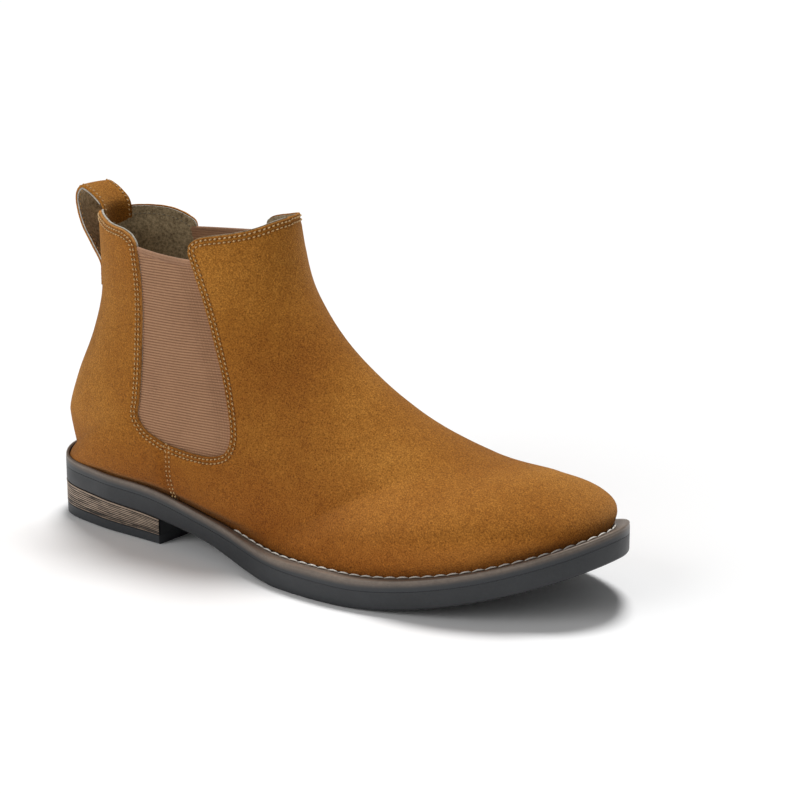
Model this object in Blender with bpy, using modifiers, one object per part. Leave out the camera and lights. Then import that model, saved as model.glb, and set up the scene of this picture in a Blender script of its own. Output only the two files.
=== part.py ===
"""Chelsea boot, right foot. Built in a last frame: +X to the toe, +Y to the inner side, +Z up, millimetres.

The upper is one lofted skin. Its panels are cut from offset layers of that skin, as they are cut and lasted in a
real boot: leather outside, stiffeners and elastic in the middle, lining inside.
"""

import bpy
import bmesh
import numpy as np

MM = 0.001
GAP = 0.3

# Sole outline seen from above, from the back of the heel along the outer side to the toe and back
OUTLINE = [
    (-151, 0), (-140, -22), (-112, -31), (-75, -34.5), (-32, -40), (9, -51.5), (45, -54), (80, -47.5), (113, -35),
    (138, -16), (147, 6), (143, 21), (132, 36), (108, 48), (78, 51.5), (40, 47), (-5, 36), (-60, 32), (-112, 34),
    (-141, 22),
]
TOE_SPRING, SPRING_START, SPRING_POWER = 26.0, 42.0, 1.85
# The sole is flat on the floor from here to the start of the toe spring
TREAD_START = 8.0
# Heights along the boot (x, z): underside of the sole, top of the sole, top of the welt, before the toe spring
SOLE_UNDERSIDE = [(-152, 16.4), (-110, 14.4), (-74, 12.2), (-45, 8.6), (-15, 2.4), (8, 0), (30, 0), (150, 0)]
SOLE_TOP = [(-152, 23.8), (-110, 22.3), (-74, 20.6), (-40, 15.0), (0, 9.6), (40, 8.6), (150, 8.6)]
WELT_TOP = [(-152, 30.0), (-140, 28.6), (-110, 26.8), (-74, 25), (-40, 19.2), (0, 13.6), (40, 13.1), (150, 13.1)]
# How far the sole stands out past the foot of the upper
SOLE_EXTENSION = [(-153, 1.5), (-110, 2.3), (-74, 3.6), (-30, 5.5), (20, 7.8), (90, 7.8), (150, 9.2)]

HEEL_BREAST, TOP_LIFT_BACK, TOP_LIFT_FRONT = -71.5, 5.6, 4.4
WRAP_THICKNESS = 1.2

# Upper: stations from the toe to the collar. Columns: station, top line x, top line z, outer half width,
# inner half width, height of the widest place, y of the top line, travel along the foot edge and back seam
STATIONS = [
    (0.00, 137.8, 34.2, 0, 0, 0.6, 7, 0.00), (0.03, 137.6, 39.2, 14, 13.5, 0.55, 7, 0.045),
    (0.06, 134.8, 44, 22, 21, 0.52, 7, 0.09), (0.11, 127.5, 49, 30, 28, 0.55, 6.5, 0.165),
    (0.20, 113.5, 54.5, 38, 36.5, 0.62, 5, 0.30), (0.34, 82, 58.5, 41.5, 40, 0.66, 3, 0.50),
    (0.48, 44, 73.5, 38.5, 35.5, 0.70, 1, 0.72), (0.60, 13, 95, 37, 33, 0.66, 0, 0.90),
    (0.72, -8, 117, 36.5, 34.5, 0.52, 0, 1.05), (0.86, -17, 138, 33, 32.5, 0.50, 0, 1.50),
    (1.00, -20.5, 157, 30.5, 30.5, 0.50, 0, 2.00),
]
BACK_SEAM = [(-149.5, 27.4), (-149.3, 46), (-143.3, 64), (-132, 88), (-126, 108), (-126.5, 128), (-127.5, 150)]

# Layers of the upper, as depths below the outer face
LEATHER, MIDDLE, COUNTER, LINING = (0.0, 1.4), (1.85, 2.75), (2.15, 2.6), (3.35, 4.3)
LINING_RIM = 0.3
# Every layer uses the same grid, so that their flat facets stay parallel
ROWS, COLUMNS = 35, 14
# The skin runs this far below the top of the welt, and every layer is trimmed level just above it
FOOT_SPARE = 2.5

# Panel borders in the side view (x, z)
SIDE_SEAM_X = -65.0
GORE_BORDER = [
    (-65, 49.6), (-47, 47.6), (-37, 48.2), (-30.5, 51), (-28.3, 57), (-33, 76), (-42, 105), (-50, 126), (-54, 136),
]
GORE_BACK = [
    (-65, 49.6), (-70, 51.3), (-77, 54.5), (-81.2, 60), (-80.2, 68), (-79.3, 80), (-79.5, 94), (-81, 115),
    (-83.5, 130), (-85, 136.5),
]
VAMP_TOP = [
    (-54, 136), (-54.5, 139), (-53.9, 141), (-52.3, 142.6), (-49.8, 143.9), (-46.5, 144.8), (-40.4, 145.8),
    (-33.6, 147), (-28.5, 148.3), (-24.8, 149.7), (-21.5, 151.4), (-18, 153),
]
QUARTER_TOP = [
    (-85, 136.5), (-86, 138.8), (-89.2, 141.4), (-95.3, 143.2), (-101, 143.6), (-107, 144.1), (-113, 145.4),
    (-120, 146.6), (-128, 146),
]
# On the inner side the gore's back edge leans further back, by this much at the top
INNER_LEAN = 11.5
VAMP_TOP_INNER = [
    (-54, 136), (-55.2, 141), (-54.2, 144), (-51, 145.9), (-46, 147.3), (-40, 148.6), (-33, 150.3), (-26.5, 151.8),
    (-22, 152.6), (-18, 153),
]
QUARTER_TOP_INNER = [(-96.5, 136.5), (-97.6, 139.2), (-101.4, 142), (-109, 145), (-119, 146.2), (-128, 146)]
# Ends (x, z) of the gore's top edge, back and front
GORE_TOP, GORE_TOP_INNER = [(-86, 136.8), (-54.5, 134.3)], [(-97, 136.5), (-55, 138.9)]
GORE_MARGIN = 6.0

TAB_WIDTH, TAB_THICKNESS, TAB_BACKING = 19.0, 0.8, 0.7
# Middle line (x, z) of the strap's loop, from the back of the boot over the top to the collar
TAB_LOOP = [
    (-133.0, 129.5), (-138.8, 138.5), (-141.5, 147.5), (-140.5, 153.4), (-136.9, 156.6), (-132.8, 155.4),
    (-128.6, 152.6), (-125.6, 149.6),
]
# Height where the strap's end inside the boot stops
TAB_INNER_END = 122.0

STITCH_PITCH, STITCH_WIDTH = 5.6, 1.0


def smooth(x, table):
    """Value at x of a smooth curve through the (x, value) pairs of a table; a row may hold several values."""
    table = np.asarray(table, float)
    xs, ys = table[:, 0], table[:, 1:]
    step = np.diff(xs)
    rise = np.diff(ys, axis=0) / step[:, None]
    slope = np.empty_like(ys)
    slope[1:-1] = (rise[:-1] * step[1:, None] + rise[1:] * step[:-1, None]) / (step[:-1] + step[1:])[:, None]
    slope[0] = 1.5 * rise[0] - 0.5 * slope[1]
    slope[-1] = 1.5 * rise[-1] - 0.5 * slope[-2]
    x = np.clip(np.asarray(x, float), xs[0], xs[-1])
    k = np.clip(np.searchsorted(xs, x, side="right") - 1, 0, len(step) - 1)
    u, h = ((x - xs[k]) / step[k])[..., None], step[k][..., None]
    out = (ys[k] * (2 * u**3 - 3 * u**2 + 1) + slope[k] * h * (u**3 - 2 * u**2 + u)
           + ys[k + 1] * (3 * u**2 - 2 * u**3) + slope[k + 1] * h * (u**3 - u**2))
    return out[..., 0] if ys.shape[1] == 1 else out


def lengths(points):
    return np.r_[0, np.cumsum(np.linalg.norm(np.diff(points, axis=0), axis=1))]


def resample(points, count, closed=False):
    """A smooth curve through the points, as count points at equal steps along it."""
    points = np.asarray(points, float)
    ring = np.vstack([points[-3:], points, points[:4]]) if closed else points
    at = np.r_[0, np.cumsum(np.sqrt(np.linalg.norm(np.diff(ring, axis=0), axis=1)))]
    first, last = (at[3], at[3 + len(points)]) if closed else (at[0], at[-1])
    fine = smooth(np.linspace(first, last, 40 * len(points)), np.c_[at, ring])
    run = lengths(fine)
    steps = np.linspace(0, run[-1], count, endpoint=not closed)
    return np.stack([np.interp(steps, run, fine[:, i]) for i in range(points.shape[1])], 1)


def polyline(points, count):
    """Points at equal steps along a broken line."""
    run = lengths(points)
    return np.stack([np.interp(np.linspace(0, run[-1], count), run, points[:, i]) for i in range(points.shape[1])], 1)


def spring(x):
    return TOE_SPRING * np.clip((np.asarray(x, float) - SPRING_START) / (150 - SPRING_START), 0, None) ** SPRING_POWER


def sole_underside(x):
    return np.clip(smooth(x, SOLE_UNDERSIDE), 0, None) * (np.asarray(x) < TREAD_START) + spring(x)


def sole_top(x):
    return smooth(x, SOLE_TOP) + spring(x)


def welt_top(x):
    return smooth(x, WELT_TOP) + spring(x)


RING = resample(OUTLINE, 1200, closed=True)
CENTRE = (RING.max(0) + RING.min(0)) / 2


def inset(ring, depth):
    """The outline moved inwards by a depth, which may differ from point to point."""
    along = np.roll(ring, -1, 0) - np.roll(ring, 1, 0)
    along /= np.linalg.norm(along, axis=1)[:, None]
    inward = np.c_[-along[:, 1], along[:, 0]]
    inward *= np.sign(((ring.mean(0) - ring) * inward).sum(1).mean())
    return ring + inward * (np.zeros(len(ring)) + depth)[:, None]


def halves(ring):
    """Outer and inner side of an outline, each from the toe tip to the back of the heel."""
    ring = np.roll(ring, -ring[:, 0].argmax(), 0)
    back = ring[:, 0].argmin()
    one, other = ring[: back + 1], np.vstack([ring[back:], ring[:1]])[::-1]
    return (one, other) if one[:, 1].mean() < other[:, 1].mean() else (other, one)


def foot_edge(depth=0.0):
    return inset(RING, smooth(RING[:, 0], SOLE_EXTENSION) + depth)


FOOT_HALVES = halves(foot_edge())


def section(top, foot, half_width, widest, edge_half, closing, count, tuck=2.2):
    """Half a section of the upper from its top line to its foot, count points, as (along, sideways)."""
    span = np.hypot(foot[0] - top[0], foot[1] - top[1]) + 1e-6
    half = max(half_width, edge_half + 0.5)
    angle = np.linspace(0, np.pi / 2, 60)
    upper = np.c_[widest * span * (1 - np.cos(angle) ** (2 / 2.2)), half * np.sin(angle)]
    drop = np.sin(angle)
    fall = (1 - closing) * (1 - drop ** tuck) + closing * np.cos(angle)
    lower = np.c_[widest * span + (1 - widest) * span * drop, edge_half + (half - edge_half) * fall]
    return polyline(np.vstack([upper, lower[1:]]), count), span


def skin(rows, columns):
    """Points of the upper's outer face, rows x (2 columns - 1) x 3, outer side first."""
    table = np.asarray(STATIONS, float)
    t = np.linspace(0, 1, rows)
    top_x, top_z, outer, inner, widest, mid, travel = smooth(t, table).T
    seam = resample(BACK_SEAM, 200)
    grid = np.zeros((rows, 2 * columns - 1, 3))
    for half, width, sign in ((FOOT_HALVES[0], outer, -1), (FOOT_HALVES[1], inner, 1)):
        run = lengths(half)
        for i in range(rows):
            if travel[i] <= 1:
                at = travel[i] * run[-1]
                edge = np.array([np.interp(at, run, half[:, 0]), np.interp(at, run, half[:, 1])])
                foot = (edge[0], float(welt_top(edge[0])) - FOOT_SPARE)
                side = edge[1]
            else:
                at = (travel[i] - 1) * 199
                foot = tuple(np.interp(at, np.arange(200), seam[:, j]) for j in (0, 1))
                side = 0.0
            closing = np.clip((travel[i] - 0.9) / 0.25, 0, 1)
            pts, span = section((top_x[i], top_z[i]), foot, width[i], widest[i], (side - mid[i]) * sign, closing, columns)
            line = np.empty((columns, 3))
            line[:, 0] = top_x[i] + (foot[0] - top_x[i]) * pts[:, 0] / span
            line[:, 2] = top_z[i] + (foot[1] - top_z[i]) * pts[:, 0] / span
            line[:, 1] = mid[i] + sign * pts[:, 1]
            if sign < 0:
                grid[i, :columns] = line[::-1]
            else:
                grid[i, columns - 1:] = line
    grid[0] = grid[0, columns - 1]
    return grid


def grid_normals(grid):
    """Outward unit normals of a skin grid."""
    down = np.gradient(grid, axis=0)
    across = np.gradient(grid, axis=1)
    normal = np.cross(down, across)
    normal /= np.linalg.norm(normal, axis=2)[..., None].clip(1e-9)
    normal *= np.sign(normal[grid.shape[0] // 3, grid.shape[1] // 2, 2])
    # At the toe tip all columns meet in one point, and up the back seam the first and last column meet
    normal[0] = normal[1].mean(0)
    seam = np.abs(grid[:, 0] - grid[:, -1]).max(1) < 0.01
    normal[seam, 0] = normal[seam, -1] = (normal[seam, 0] + normal[seam, -1]) * [1, 0, 1]
    return normal / np.linalg.norm(normal, axis=2)[..., None].clip(1e-9)


def foot_level(x):
    return welt_top(np.clip(x, -150, 150)) + GAP


def level_foot(grid):
    """Every row of a layer cut off level just above the welt."""
    middle = grid.shape[1] // 2
    out = grid.copy()
    out[0, :, 2] = np.maximum(grid[0, :, 2], foot_level(grid[0, :, 0]))
    for i in range(1, len(grid)):
        for half in (slice(middle, None), slice(middle, None, -1)):
            line = grid[i, half]
            above = line[:, 2] - foot_level(line[:, 0])
            if above[-1] >= 0:
                continue
            k = np.nonzero(above > 0)[0][-1]
            end = line[k] + (line[k + 1] - line[k]) * above[k] / (above[k] - above[k + 1])
            rest = len(line) - 1 - k
            out[i, half] = np.vstack([line[: k + 1], line[k] + (end - line[k]) * np.c_[1: rest + 1] / rest])
    return out


# ---------- scene helpers ----------

def clear():
    for obj in list(bpy.data.objects):
        bpy.data.objects.remove(obj, do_unlink=True)


def collection(name):
    made = bpy.data.collections.new(name)
    bpy.context.scene.collection.children.link(made)
    return made


def material(name, colour, roughness, metallic=0.0):
    made = bpy.data.materials.new(name)
    made.use_nodes = True
    shader = made.node_tree.nodes["Principled BSDF"]
    shader.inputs["Base Color"].default_value = (*colour, 1)
    shader.inputs["Roughness"].default_value = roughness
    shader.inputs["Metallic"].default_value = metallic
    made.diffuse_color = (*colour, 1)
    return made


def to_object(name, points, faces, where, look=None, merge=True):
    """An object from points in the last frame, in millimetres, with its faces turned outwards."""
    points = (np.asarray(points, float) - [CENTRE[0], CENTRE[1], 0]) * MM
    mesh = bpy.data.meshes.new(name)
    mesh.from_pydata(points.tolist(), [], [list(map(int, f)) for f in faces])
    work = bmesh.new()
    work.from_mesh(mesh)
    if merge:
        bmesh.ops.remove_doubles(work, verts=work.verts, dist=2e-5)
        bmesh.ops.dissolve_degenerate(work, edges=work.edges, dist=1e-6)
    bmesh.ops.recalc_face_normals(work, faces=work.faces)
    work.to_mesh(mesh)
    work.free()
    for polygon in mesh.polygons:
        polygon.use_smooth = True
    obj = bpy.data.objects.new(name, mesh)
    if look:
        mesh.materials.append(look)
    where.objects.link(obj)
    return obj


def grid_faces(rows, columns, wrap_rows=False, wrap_columns=False):
    faces = []
    for i in range(rows if wrap_rows else rows - 1):
        for j in range(columns if wrap_columns else columns - 1):
            a, b = i, (i + 1) % rows
            c, d = j, (j + 1) % columns
            faces.append((a * columns + c, b * columns + c, b * columns + d, a * columns + d))
    return faces


def bevel(obj, width, segments=2, angle=35):
    made = obj.modifiers.new("Bevel", "BEVEL")
    made.width = width * MM
    made.segments = segments
    made.limit_method = "ANGLE"
    made.angle_limit = np.radians(angle)
    return made


def cut(obj, cutter, operation):
    made = obj.modifiers.new(operation.title(), "BOOLEAN")
    made.operation = operation
    made.solver = "EXACT"
    made.object = cutter


def prism(name, border, near, far, where, other=None):
    """A cutter: a border in the side view, extruded sideways from y = near to y = far. With another border of as many
    points, it changes from the first to the other close to the middle plane."""
    sections = [(border, near), (border, far)]
    if other is not None:
        sections = [(border, near), (border, -4), (other, 4), (other, far)]
    n, m = len(border), len(sections)
    points = np.vstack([np.c_[np.asarray(line, float)[:, 0], np.full(n, y), np.asarray(line, float)[:, 1]]
                        for line, y in sections])
    faces = [list(range(n)), list(range(m * n - 1, (m - 1) * n - 1, -1))]
    for k in range(0, (m - 1) * n, n):
        faces += [(k + i, k + (i + 1) % n, k + n + (i + 1) % n, k + n + i) for i in range(n)]
    made = to_object(name, points, faces, where, merge=False)
    made.display_type = "WIRE"
    made.hide_render = True
    return made


def layer(name, depths, cutters, where, look):
    """One panel: a shell between two depths below the skin, kept where the first cutter is."""
    grid = skin(ROWS, COLUMNS)
    normal = grid_normals(grid)
    across = grid.shape[1]
    outer, inner = (level_foot(grid - normal * depth) for depth in depths)
    points = np.vstack([outer.reshape(-1, 3), inner.reshape(-1, 3)])
    faces = grid_faces(ROWS, across)
    faces += [[len(points) // 2 + corner for corner in face[::-1]] for face in faces]
    closed_row = int((np.abs(grid[:, 0] - grid[:, -1]).max(1) > 0.01).sum()) + 1
    foot = list(range(across * closed_row, -1, -across)) + list(range(across - 1, across * (closed_row + 1), across))
    top = list(range(across * (ROWS - 1), across * ROWS))
    for line in (foot, top):
        for i, j in zip(line[:-1], line[1:]):
            faces.append([i, j, len(points) // 2 + j, len(points) // 2 + i])
    obj = to_object(name, points, faces, where, look)
    for cutter, operation in cutters:
        cut(obj, cutter, operation)
    return obj


def ladder(name, halves_pair, low, high, count, where, look, ease=1.0):
    """A plate over an outline: strips from side to side between two height functions of x."""
    share = (1 - np.cos(np.linspace(0, np.pi, count))) / 2
    share = (1 - ease) * np.linspace(0, 1, count) + ease * share
    sides = []
    for half in halves_pair:
        run = lengths(half) / lengths(half)[-1]
        sides.append(np.stack([np.interp(share, run, half[:, i]) for i in (0, 1)], 1))
    ring = np.vstack([sides[0], sides[1][-2:0:-1]])
    n = len(ring)
    points = np.vstack([np.c_[ring, low(ring[:, 0])], np.c_[ring, high(ring[:, 0])]])
    faces = []
    for base in (0, n):
        for i in range(count - 1):
            a, b = i, i + 1
            c, d = (n - i) % n, (n - i - 1) % n
            quad = [a, b] + ([d] if d != b else []) + ([c] if c != a else [])
            faces.append([base + q for q in dict.fromkeys(quad)])
    faces += [(i, (i + 1) % n, n + (i + 1) % n, n + i) for i in range(n)]
    return to_object(name, points, faces, where, look)


def offset_border(border, distance):
    """A side-view border moved outwards, away from the middle of the opening."""
    border = np.asarray(border, float)
    along = np.gradient(border, axis=0)
    along /= np.linalg.norm(along, axis=1)[:, None]
    return border + np.c_[-along[:, 1], along[:, 0]] * distance


# ---------- the boot ----------

def gore_edges(inner, count):
    """Front and back edge of the gore in the side view, both from the bottom up."""
    front, back = resample(GORE_BORDER, count), resample(GORE_BACK, count)
    if inner:
        back[:, 0] -= INNER_LEAN * np.clip((back[:, 1] - 50) / 60, 0, 1)
    return front, back


def gore_top(inner, x):
    (x0, z0), (x1, z1) = GORE_TOP_INNER if inner else GORE_TOP
    return z0 + (z1 - z0) * (np.asarray(x, float) - x0) / (x1 - x0)


def vamp_border(inner, rise=0.0):
    front = gore_edges(inner, 26)[0]
    top = resample(VAMP_TOP_INNER if inner else VAMP_TOP, 18)[1:] + [0, rise]
    return np.vstack([front, top, [(-8, 158 + rise), (175, 158 + rise), (175, -25), (SIDE_SEAM_X, -25)]])


def quarter_border(inner, rise=0.0):
    back = gore_edges(inner, 26)[1]
    back[0] = (SIDE_SEAM_X - GAP, back[1, 1])
    top = resample(QUARTER_TOP_INNER if inner else QUARTER_TOP, 18)[1:] + [0, rise]
    return np.vstack([back, top, [(-170, 142 + rise), (-170, -25), (SIDE_SEAM_X - GAP, -25)]])


def gore_border(inner):
    front, back = gore_edges(inner, 16)
    border = np.vstack([offset_border(back, GORE_MARGIN)[:0:-1], offset_border(front, -GORE_MARGIN)[1:]])
    return np.c_[border[:, 0], np.minimum(border[:, 1], gore_top(inner, border[:, 0]) - 1.2)]


def binding_border(inner):
    front, back = gore_edges(inner, 60)
    front, back = (line[(line[:, 1] > 130) & (line[:, 1] < gore_top(inner, line[:, 0]) - 0.4)] for line in (front, back))
    front, back = front - [GAP, 0], back + [GAP, 0]
    rise = gore_top(inner, front[-1, 0]) - front[-1, 1]
    ends = [front[-1, 0] - 0.47 * rise, back[-1, 0]]
    return np.vstack([front, np.c_[ends, gore_top(inner, ends)], back[::-1]])


def interlining_border(inner):
    edge = offset_border(gore_edges(inner, 26)[0], -GORE_MARGIN - 2 * GAP)
    edge[0] = (SIDE_SEAM_X, edge[1, 1])
    edge = polyline(edge[edge[:, 1] < 128], 24)
    return np.vstack([edge, [(edge[-1, 0] + 6, 136), (-30, 142), (-8, 147), (97.7, 147), (97.7, 120), (89.7, -25),
                             (SIDE_SEAM_X, -25)]])


def build_upper(parts, cutters, looks):
    wide = (-90, 90)
    vamp_cut = prism("cut_vamp", vamp_border(False), *wide, cutters, vamp_border(True))
    vamp_lining_cut = prism("cut_vamp_lining", vamp_border(False, LINING_RIM), *wide, cutters,
                            vamp_border(True, LINING_RIM))
    quarter_cuts = [prism("cut_quarter_outer", quarter_border(False), -90, -GAP / 2, cutters),
                    prism("cut_quarter_inner", quarter_border(True), GAP / 2, 90, cutters)]
    quarter_lining_cut = prism("cut_quarter_lining", quarter_border(False, LINING_RIM), *wide, cutters,
                               quarter_border(True, LINING_RIM))
    layer("vamp", LEATHER, [(vamp_cut, "INTERSECT")], parts, looks["suede"])
    layer("quarter_lateral", LEATHER, [(quarter_cuts[0], "INTERSECT")], parts, looks["suede"])
    layer("quarter_medial", LEATHER, [(quarter_cuts[1], "INTERSECT")], parts, looks["suede"])
    layer("vamp_lining", LINING, [(vamp_lining_cut, "INTERSECT")], parts, looks["lining"])
    layer("quarter_lining", LINING, [(quarter_lining_cut, "INTERSECT")], parts, looks["lining"])

    for name, inner, near, far in (("lateral", False, -90, 0), ("medial", True, 0, 90)):
        gore_cut = prism("cut_gore_" + name, gore_border(inner), near, far, cutters)
        layer("gore_" + name, MIDDLE, [(gore_cut, "INTERSECT")], parts, looks["elastic"])
        top = [(x, gore_top(inner, x) - 0.5) for x in (-30, -120)]
        slot_cut = prism("cut_slot_" + name, [(-120, 100), (-30, 100)] + top, near, far, cutters)
        slot = layer("slot_" + name, (1.4, 3.2), [(slot_cut, "INTERSECT")], cutters, None)
        slot.hide_render = True
        slot.display_type = "WIRE"
        channel = prism("cut_binding_" + name, binding_border(inner), near, far, cutters)
        layer("gore_binding_" + name, (0.75, 3.85), [(channel, "INTERSECT"), (slot, "DIFFERENCE")],
              parts, looks["binding"])

    puff = prism("cut_puff", [(90, -25), (175, -25), (175, 120), (98, 120)], *wide, cutters)
    layer("toe_puff", MIDDLE, [(puff, "INTERSECT")], parts, looks["stiffener"])
    inter_cut = prism("cut_interlining", interlining_border(False), *wide, cutters, interlining_border(True))
    layer("vamp_interlining", MIDDLE, [(inter_cut, "INTERSECT")], parts, looks["canvas"])
    counter = [(-66.4, 37.3), (-80.3, 43.4), (-90.4, 55.6), (-93.7, 75.3), (-110, 87.7), (-170, 91.6)]
    counter = prism("cut_counter", counter + [(-170, -25), (-66.4, -25)], *wide, cutters)
    layer("heel_counter", COUNTER, [(counter, "INTERSECT")], parts, looks["stiffener"])
    stay = prism("cut_stay", [(-112, 94), (-170, 94), (-170, 120.5), (-112, 120.5)], -7, 7, cutters)
    layer("back_stay", MIDDLE, [(stay, "INTERSECT")], parts, looks["canvas"])


def back_face():
    """A function giving x of the upper's outer face near the back seam, at a sideways place and a height."""
    grid = skin(160, 81)
    normal = grid_normals(grid)
    keep = (grid[..., 0] < -95) & (grid[..., 2] > 70)
    points, normals = grid[keep], normal[keep]

    def at(y, z):
        k = ((points[:, 1] - y) ** 2 + (points[:, 2] - z) ** 2).argmin()
        p, n = points[k], normals[k]
        return p[0] - (n[1] * (y - p[1]) + n[2] * (z - p[2])) / n[0]

    return at


def build_tab(parts, looks):
    at = back_face()
    middle = GAP * 2 + TAB_BACKING + TAB_THICKNESS / 2
    path = [(at(0, z) - middle, z) for z in (111, 116, 121)]
    path += TAB_LOOP + [(at(0, z) + 2.65, z) for z in (147, 143.5, 136, 129, TAB_INNER_END)]
    path = resample(path, 36)
    along = np.gradient(path, axis=0)
    along /= np.linalg.norm(along, axis=1)[:, None]
    inside = np.c_[along[:, 1], -along[:, 0]]
    across = np.linspace(-TAB_WIDTH / 2, TAB_WIDTH / 2, 5)
    hug = np.clip(1 - 0.65 * (path[:, 1] - 146) / 14, 0.35, 1.0)
    bend = np.array([[at(y, min(z, 147)) - at(0, min(z, 147)) for y in across] for z in path[:, 1]])

    def strap(name, shift, first, last, thickness, look):
        line = (path + inside * shift)[first:last]
        grid = np.stack([np.c_[line[:, 0] + (bend[first:last, j] * hug[first:last]), np.full(len(line), y), line[:, 1]]
                         for j, y in enumerate(across)], 1)
        obj = to_object(name, grid.reshape(-1, 3), grid_faces(len(line), len(across)), parts, look)
        solid = obj.modifiers.new("Solidify", "SOLIDIFY")
        solid.thickness = thickness * MM
        solid.offset = 0
        return obj

    strap("pull_tab", 0, 0, len(path), TAB_THICKNESS, looks["suede"])
    above = np.nonzero(path[:, 1] > 150)[0][-1] + 1
    strap("pull_tab_lining", TAB_THICKNESS / 2 + GAP + TAB_BACKING / 2, 0, above, TAB_BACKING, looks["lining"])


def clip_box(name, low_x, high_x, where):
    return prism(name, [(low_x, -40), (high_x, -40), (high_x, 120), (low_x, 120)], -90, 90, where)


def build_bottom(parts, cutters, looks):
    above = lambda height, extra: (lambda x: height(x) + extra)
    outsole = ladder("outsole", halves(RING), sole_underside, sole_top, 46, parts, looks["sole"], 0.7)
    bevel(outsole, 0.5, 1, 50)

    count = 100
    ring = resample(OUTLINE, count, closed=True)
    extension = smooth(ring[:, 0], SOLE_EXTENSION)
    wide = extension + smooth(ring[:, 0], [(-153, 6.5), (-74, 6.5), (20, 8.5), (150, 8.0)])
    profile = [(0.5, sole_top, GAP), (0, sole_top, 1.5), (0, welt_top, -1.5), (0.5, welt_top, -0.5),
               (extension * 0.5, welt_top, 0), (extension, welt_top, 0), (wide, welt_top, 0), (wide, sole_top, GAP),
               (extension, sole_top, GAP)]
    rows = [inset(ring, depth) for depth, _, _ in profile]
    rows = [np.c_[row, height(row[:, 0]) + extra] for row, (_, height, extra) in zip(rows, profile)]
    to_object("welt", np.vstack(rows), grid_faces(len(rows), count, True, True), parts, looks["welt"])

    # The stitch that holds the welt: one thread, thick where it lies on top and thin where it dives
    line = inset(RING, smooth(RING[:, 0], SOLE_EXTENSION) * 0.3 + 0.4)
    line = np.roll(line, -line[:, 0].argmin(), 0)
    line = line[line[:, 0] > np.where(line[:, 1] < 0, -25, 3)]
    stitches = int(lengths(line)[-1] / STITCH_PITCH)
    line = polyline(line, 3 * stitches + 1)
    curve = bpy.data.curves.new("welt_stitch", "CURVE")
    curve.dimensions = "3D"
    curve.bevel_depth = STITCH_WIDTH / 2 * MM
    curve.bevel_resolution = 0
    curve.use_fill_caps = True
    spline = curve.splines.new("POLY")
    spline.points.add(len(line) - 1)
    for i, (x, y) in enumerate(line):
        thin = i % 3 == 0
        z = float(welt_top(x)) + (0.35 if thin else 0.62)
        spline.points[i].co = ((x - CENTRE[0]) * MM, (y - CENTRE[1]) * MM, z * MM, 1)
        spline.points[i].radius = 0.45 if thin else 1.0
    thread = bpy.data.objects.new("welt_stitch", curve)
    curve.materials.append(looks["thread"])
    parts.objects.link(thread)

    core = halves(inset(RING, smooth(RING[:, 0], SOLE_EXTENSION)
                        + smooth(RING[:, 0], [(-153, 6.5), (-74, 6.5), (20, 8.5), (150, 8.0)]) + GAP))
    front_box = clip_box("cut_front", -14, 170, cutters)
    rear_box = clip_box("cut_rear", -170, -14.3, cutters)
    filler = ladder("cork_filler", core, above(sole_top, GAP), welt_top, 30, parts, looks["cork"])
    cut(filler, front_box, "INTERSECT")
    seat = ladder("heel_seat_filler", core, above(sole_top, GAP), welt_top, 30, parts, looks["fibre"])
    cut(seat, rear_box, "INTERSECT")

    # Steel shank in a groove of the seat filler
    xs = np.linspace(-112, -24, 16)
    def bar(name, half, low, high, where, look, stretch=0.0):
        x = np.linspace(xs[0] - stretch, xs[-1] + stretch, 16)
        mid = 1.0 + 0 * x
        rows_ = [np.c_[x, mid + s * half, height] for s, height in
                 ((-1, low(x)), (1, low(x)), (1, high(x)), (-1, high(x)))]
        faces = grid_faces(4, 16, True)
        faces += [(0, 16, 32, 48), (15, 63, 47, 31)]
        return to_object(name, np.vstack(rows_), faces, where, look)
    groove = bar("cut_groove", 7.0 + GAP, above(sole_top, 1.5 - GAP), above(welt_top, 5), cutters, None, GAP)
    groove.hide_render = True
    groove.display_type = "WIRE"
    cut(seat, groove, "DIFFERENCE")
    bar("shank", 7.0, above(sole_top, 1.5), above(sole_top, 2.9), parts, looks["steel"])
    for name, x in (("shank_rivet_back", -100.0), ("shank_rivet_front", -36.0)):
        low = float(sole_top(x)) + 2.9 + GAP
        height = float(welt_top(x)) - low - 0.4
        turn = np.linspace(0, 2 * np.pi, 12, endpoint=False)
        rings = [np.c_[x + r * np.cos(turn), 1.0 + r * np.sin(turn), np.full(12, low + z)]
                 for r, z in ((2.6, 0.25), (2.6, height * 0.5), (1.6, height))]
        faces = grid_faces(3, 12, False, True) + [list(range(12)), list(range(35, 23, -1))]
        to_object(name, np.vstack(rings), faces, parts, looks["steel"])

    ladder("insole_board", halves(foot_edge(7.4)), above(welt_top, GAP), above(welt_top, 2.4), 34, parts, looks["fibre"])
    sock = ladder("sock_liner", halves(foot_edge(7.9)), above(welt_top, 2.7), above(welt_top, 3.9), 34, parts,
                  looks["lining"])
    pad = ladder("heel_pad", halves(foot_edge(11)), above(welt_top, 4.2), above(welt_top, 6.4), 30, parts, looks["foam"])
    cut(pad, clip_box("cut_pad", -170, -82, cutters), "INTERSECT")

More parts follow.
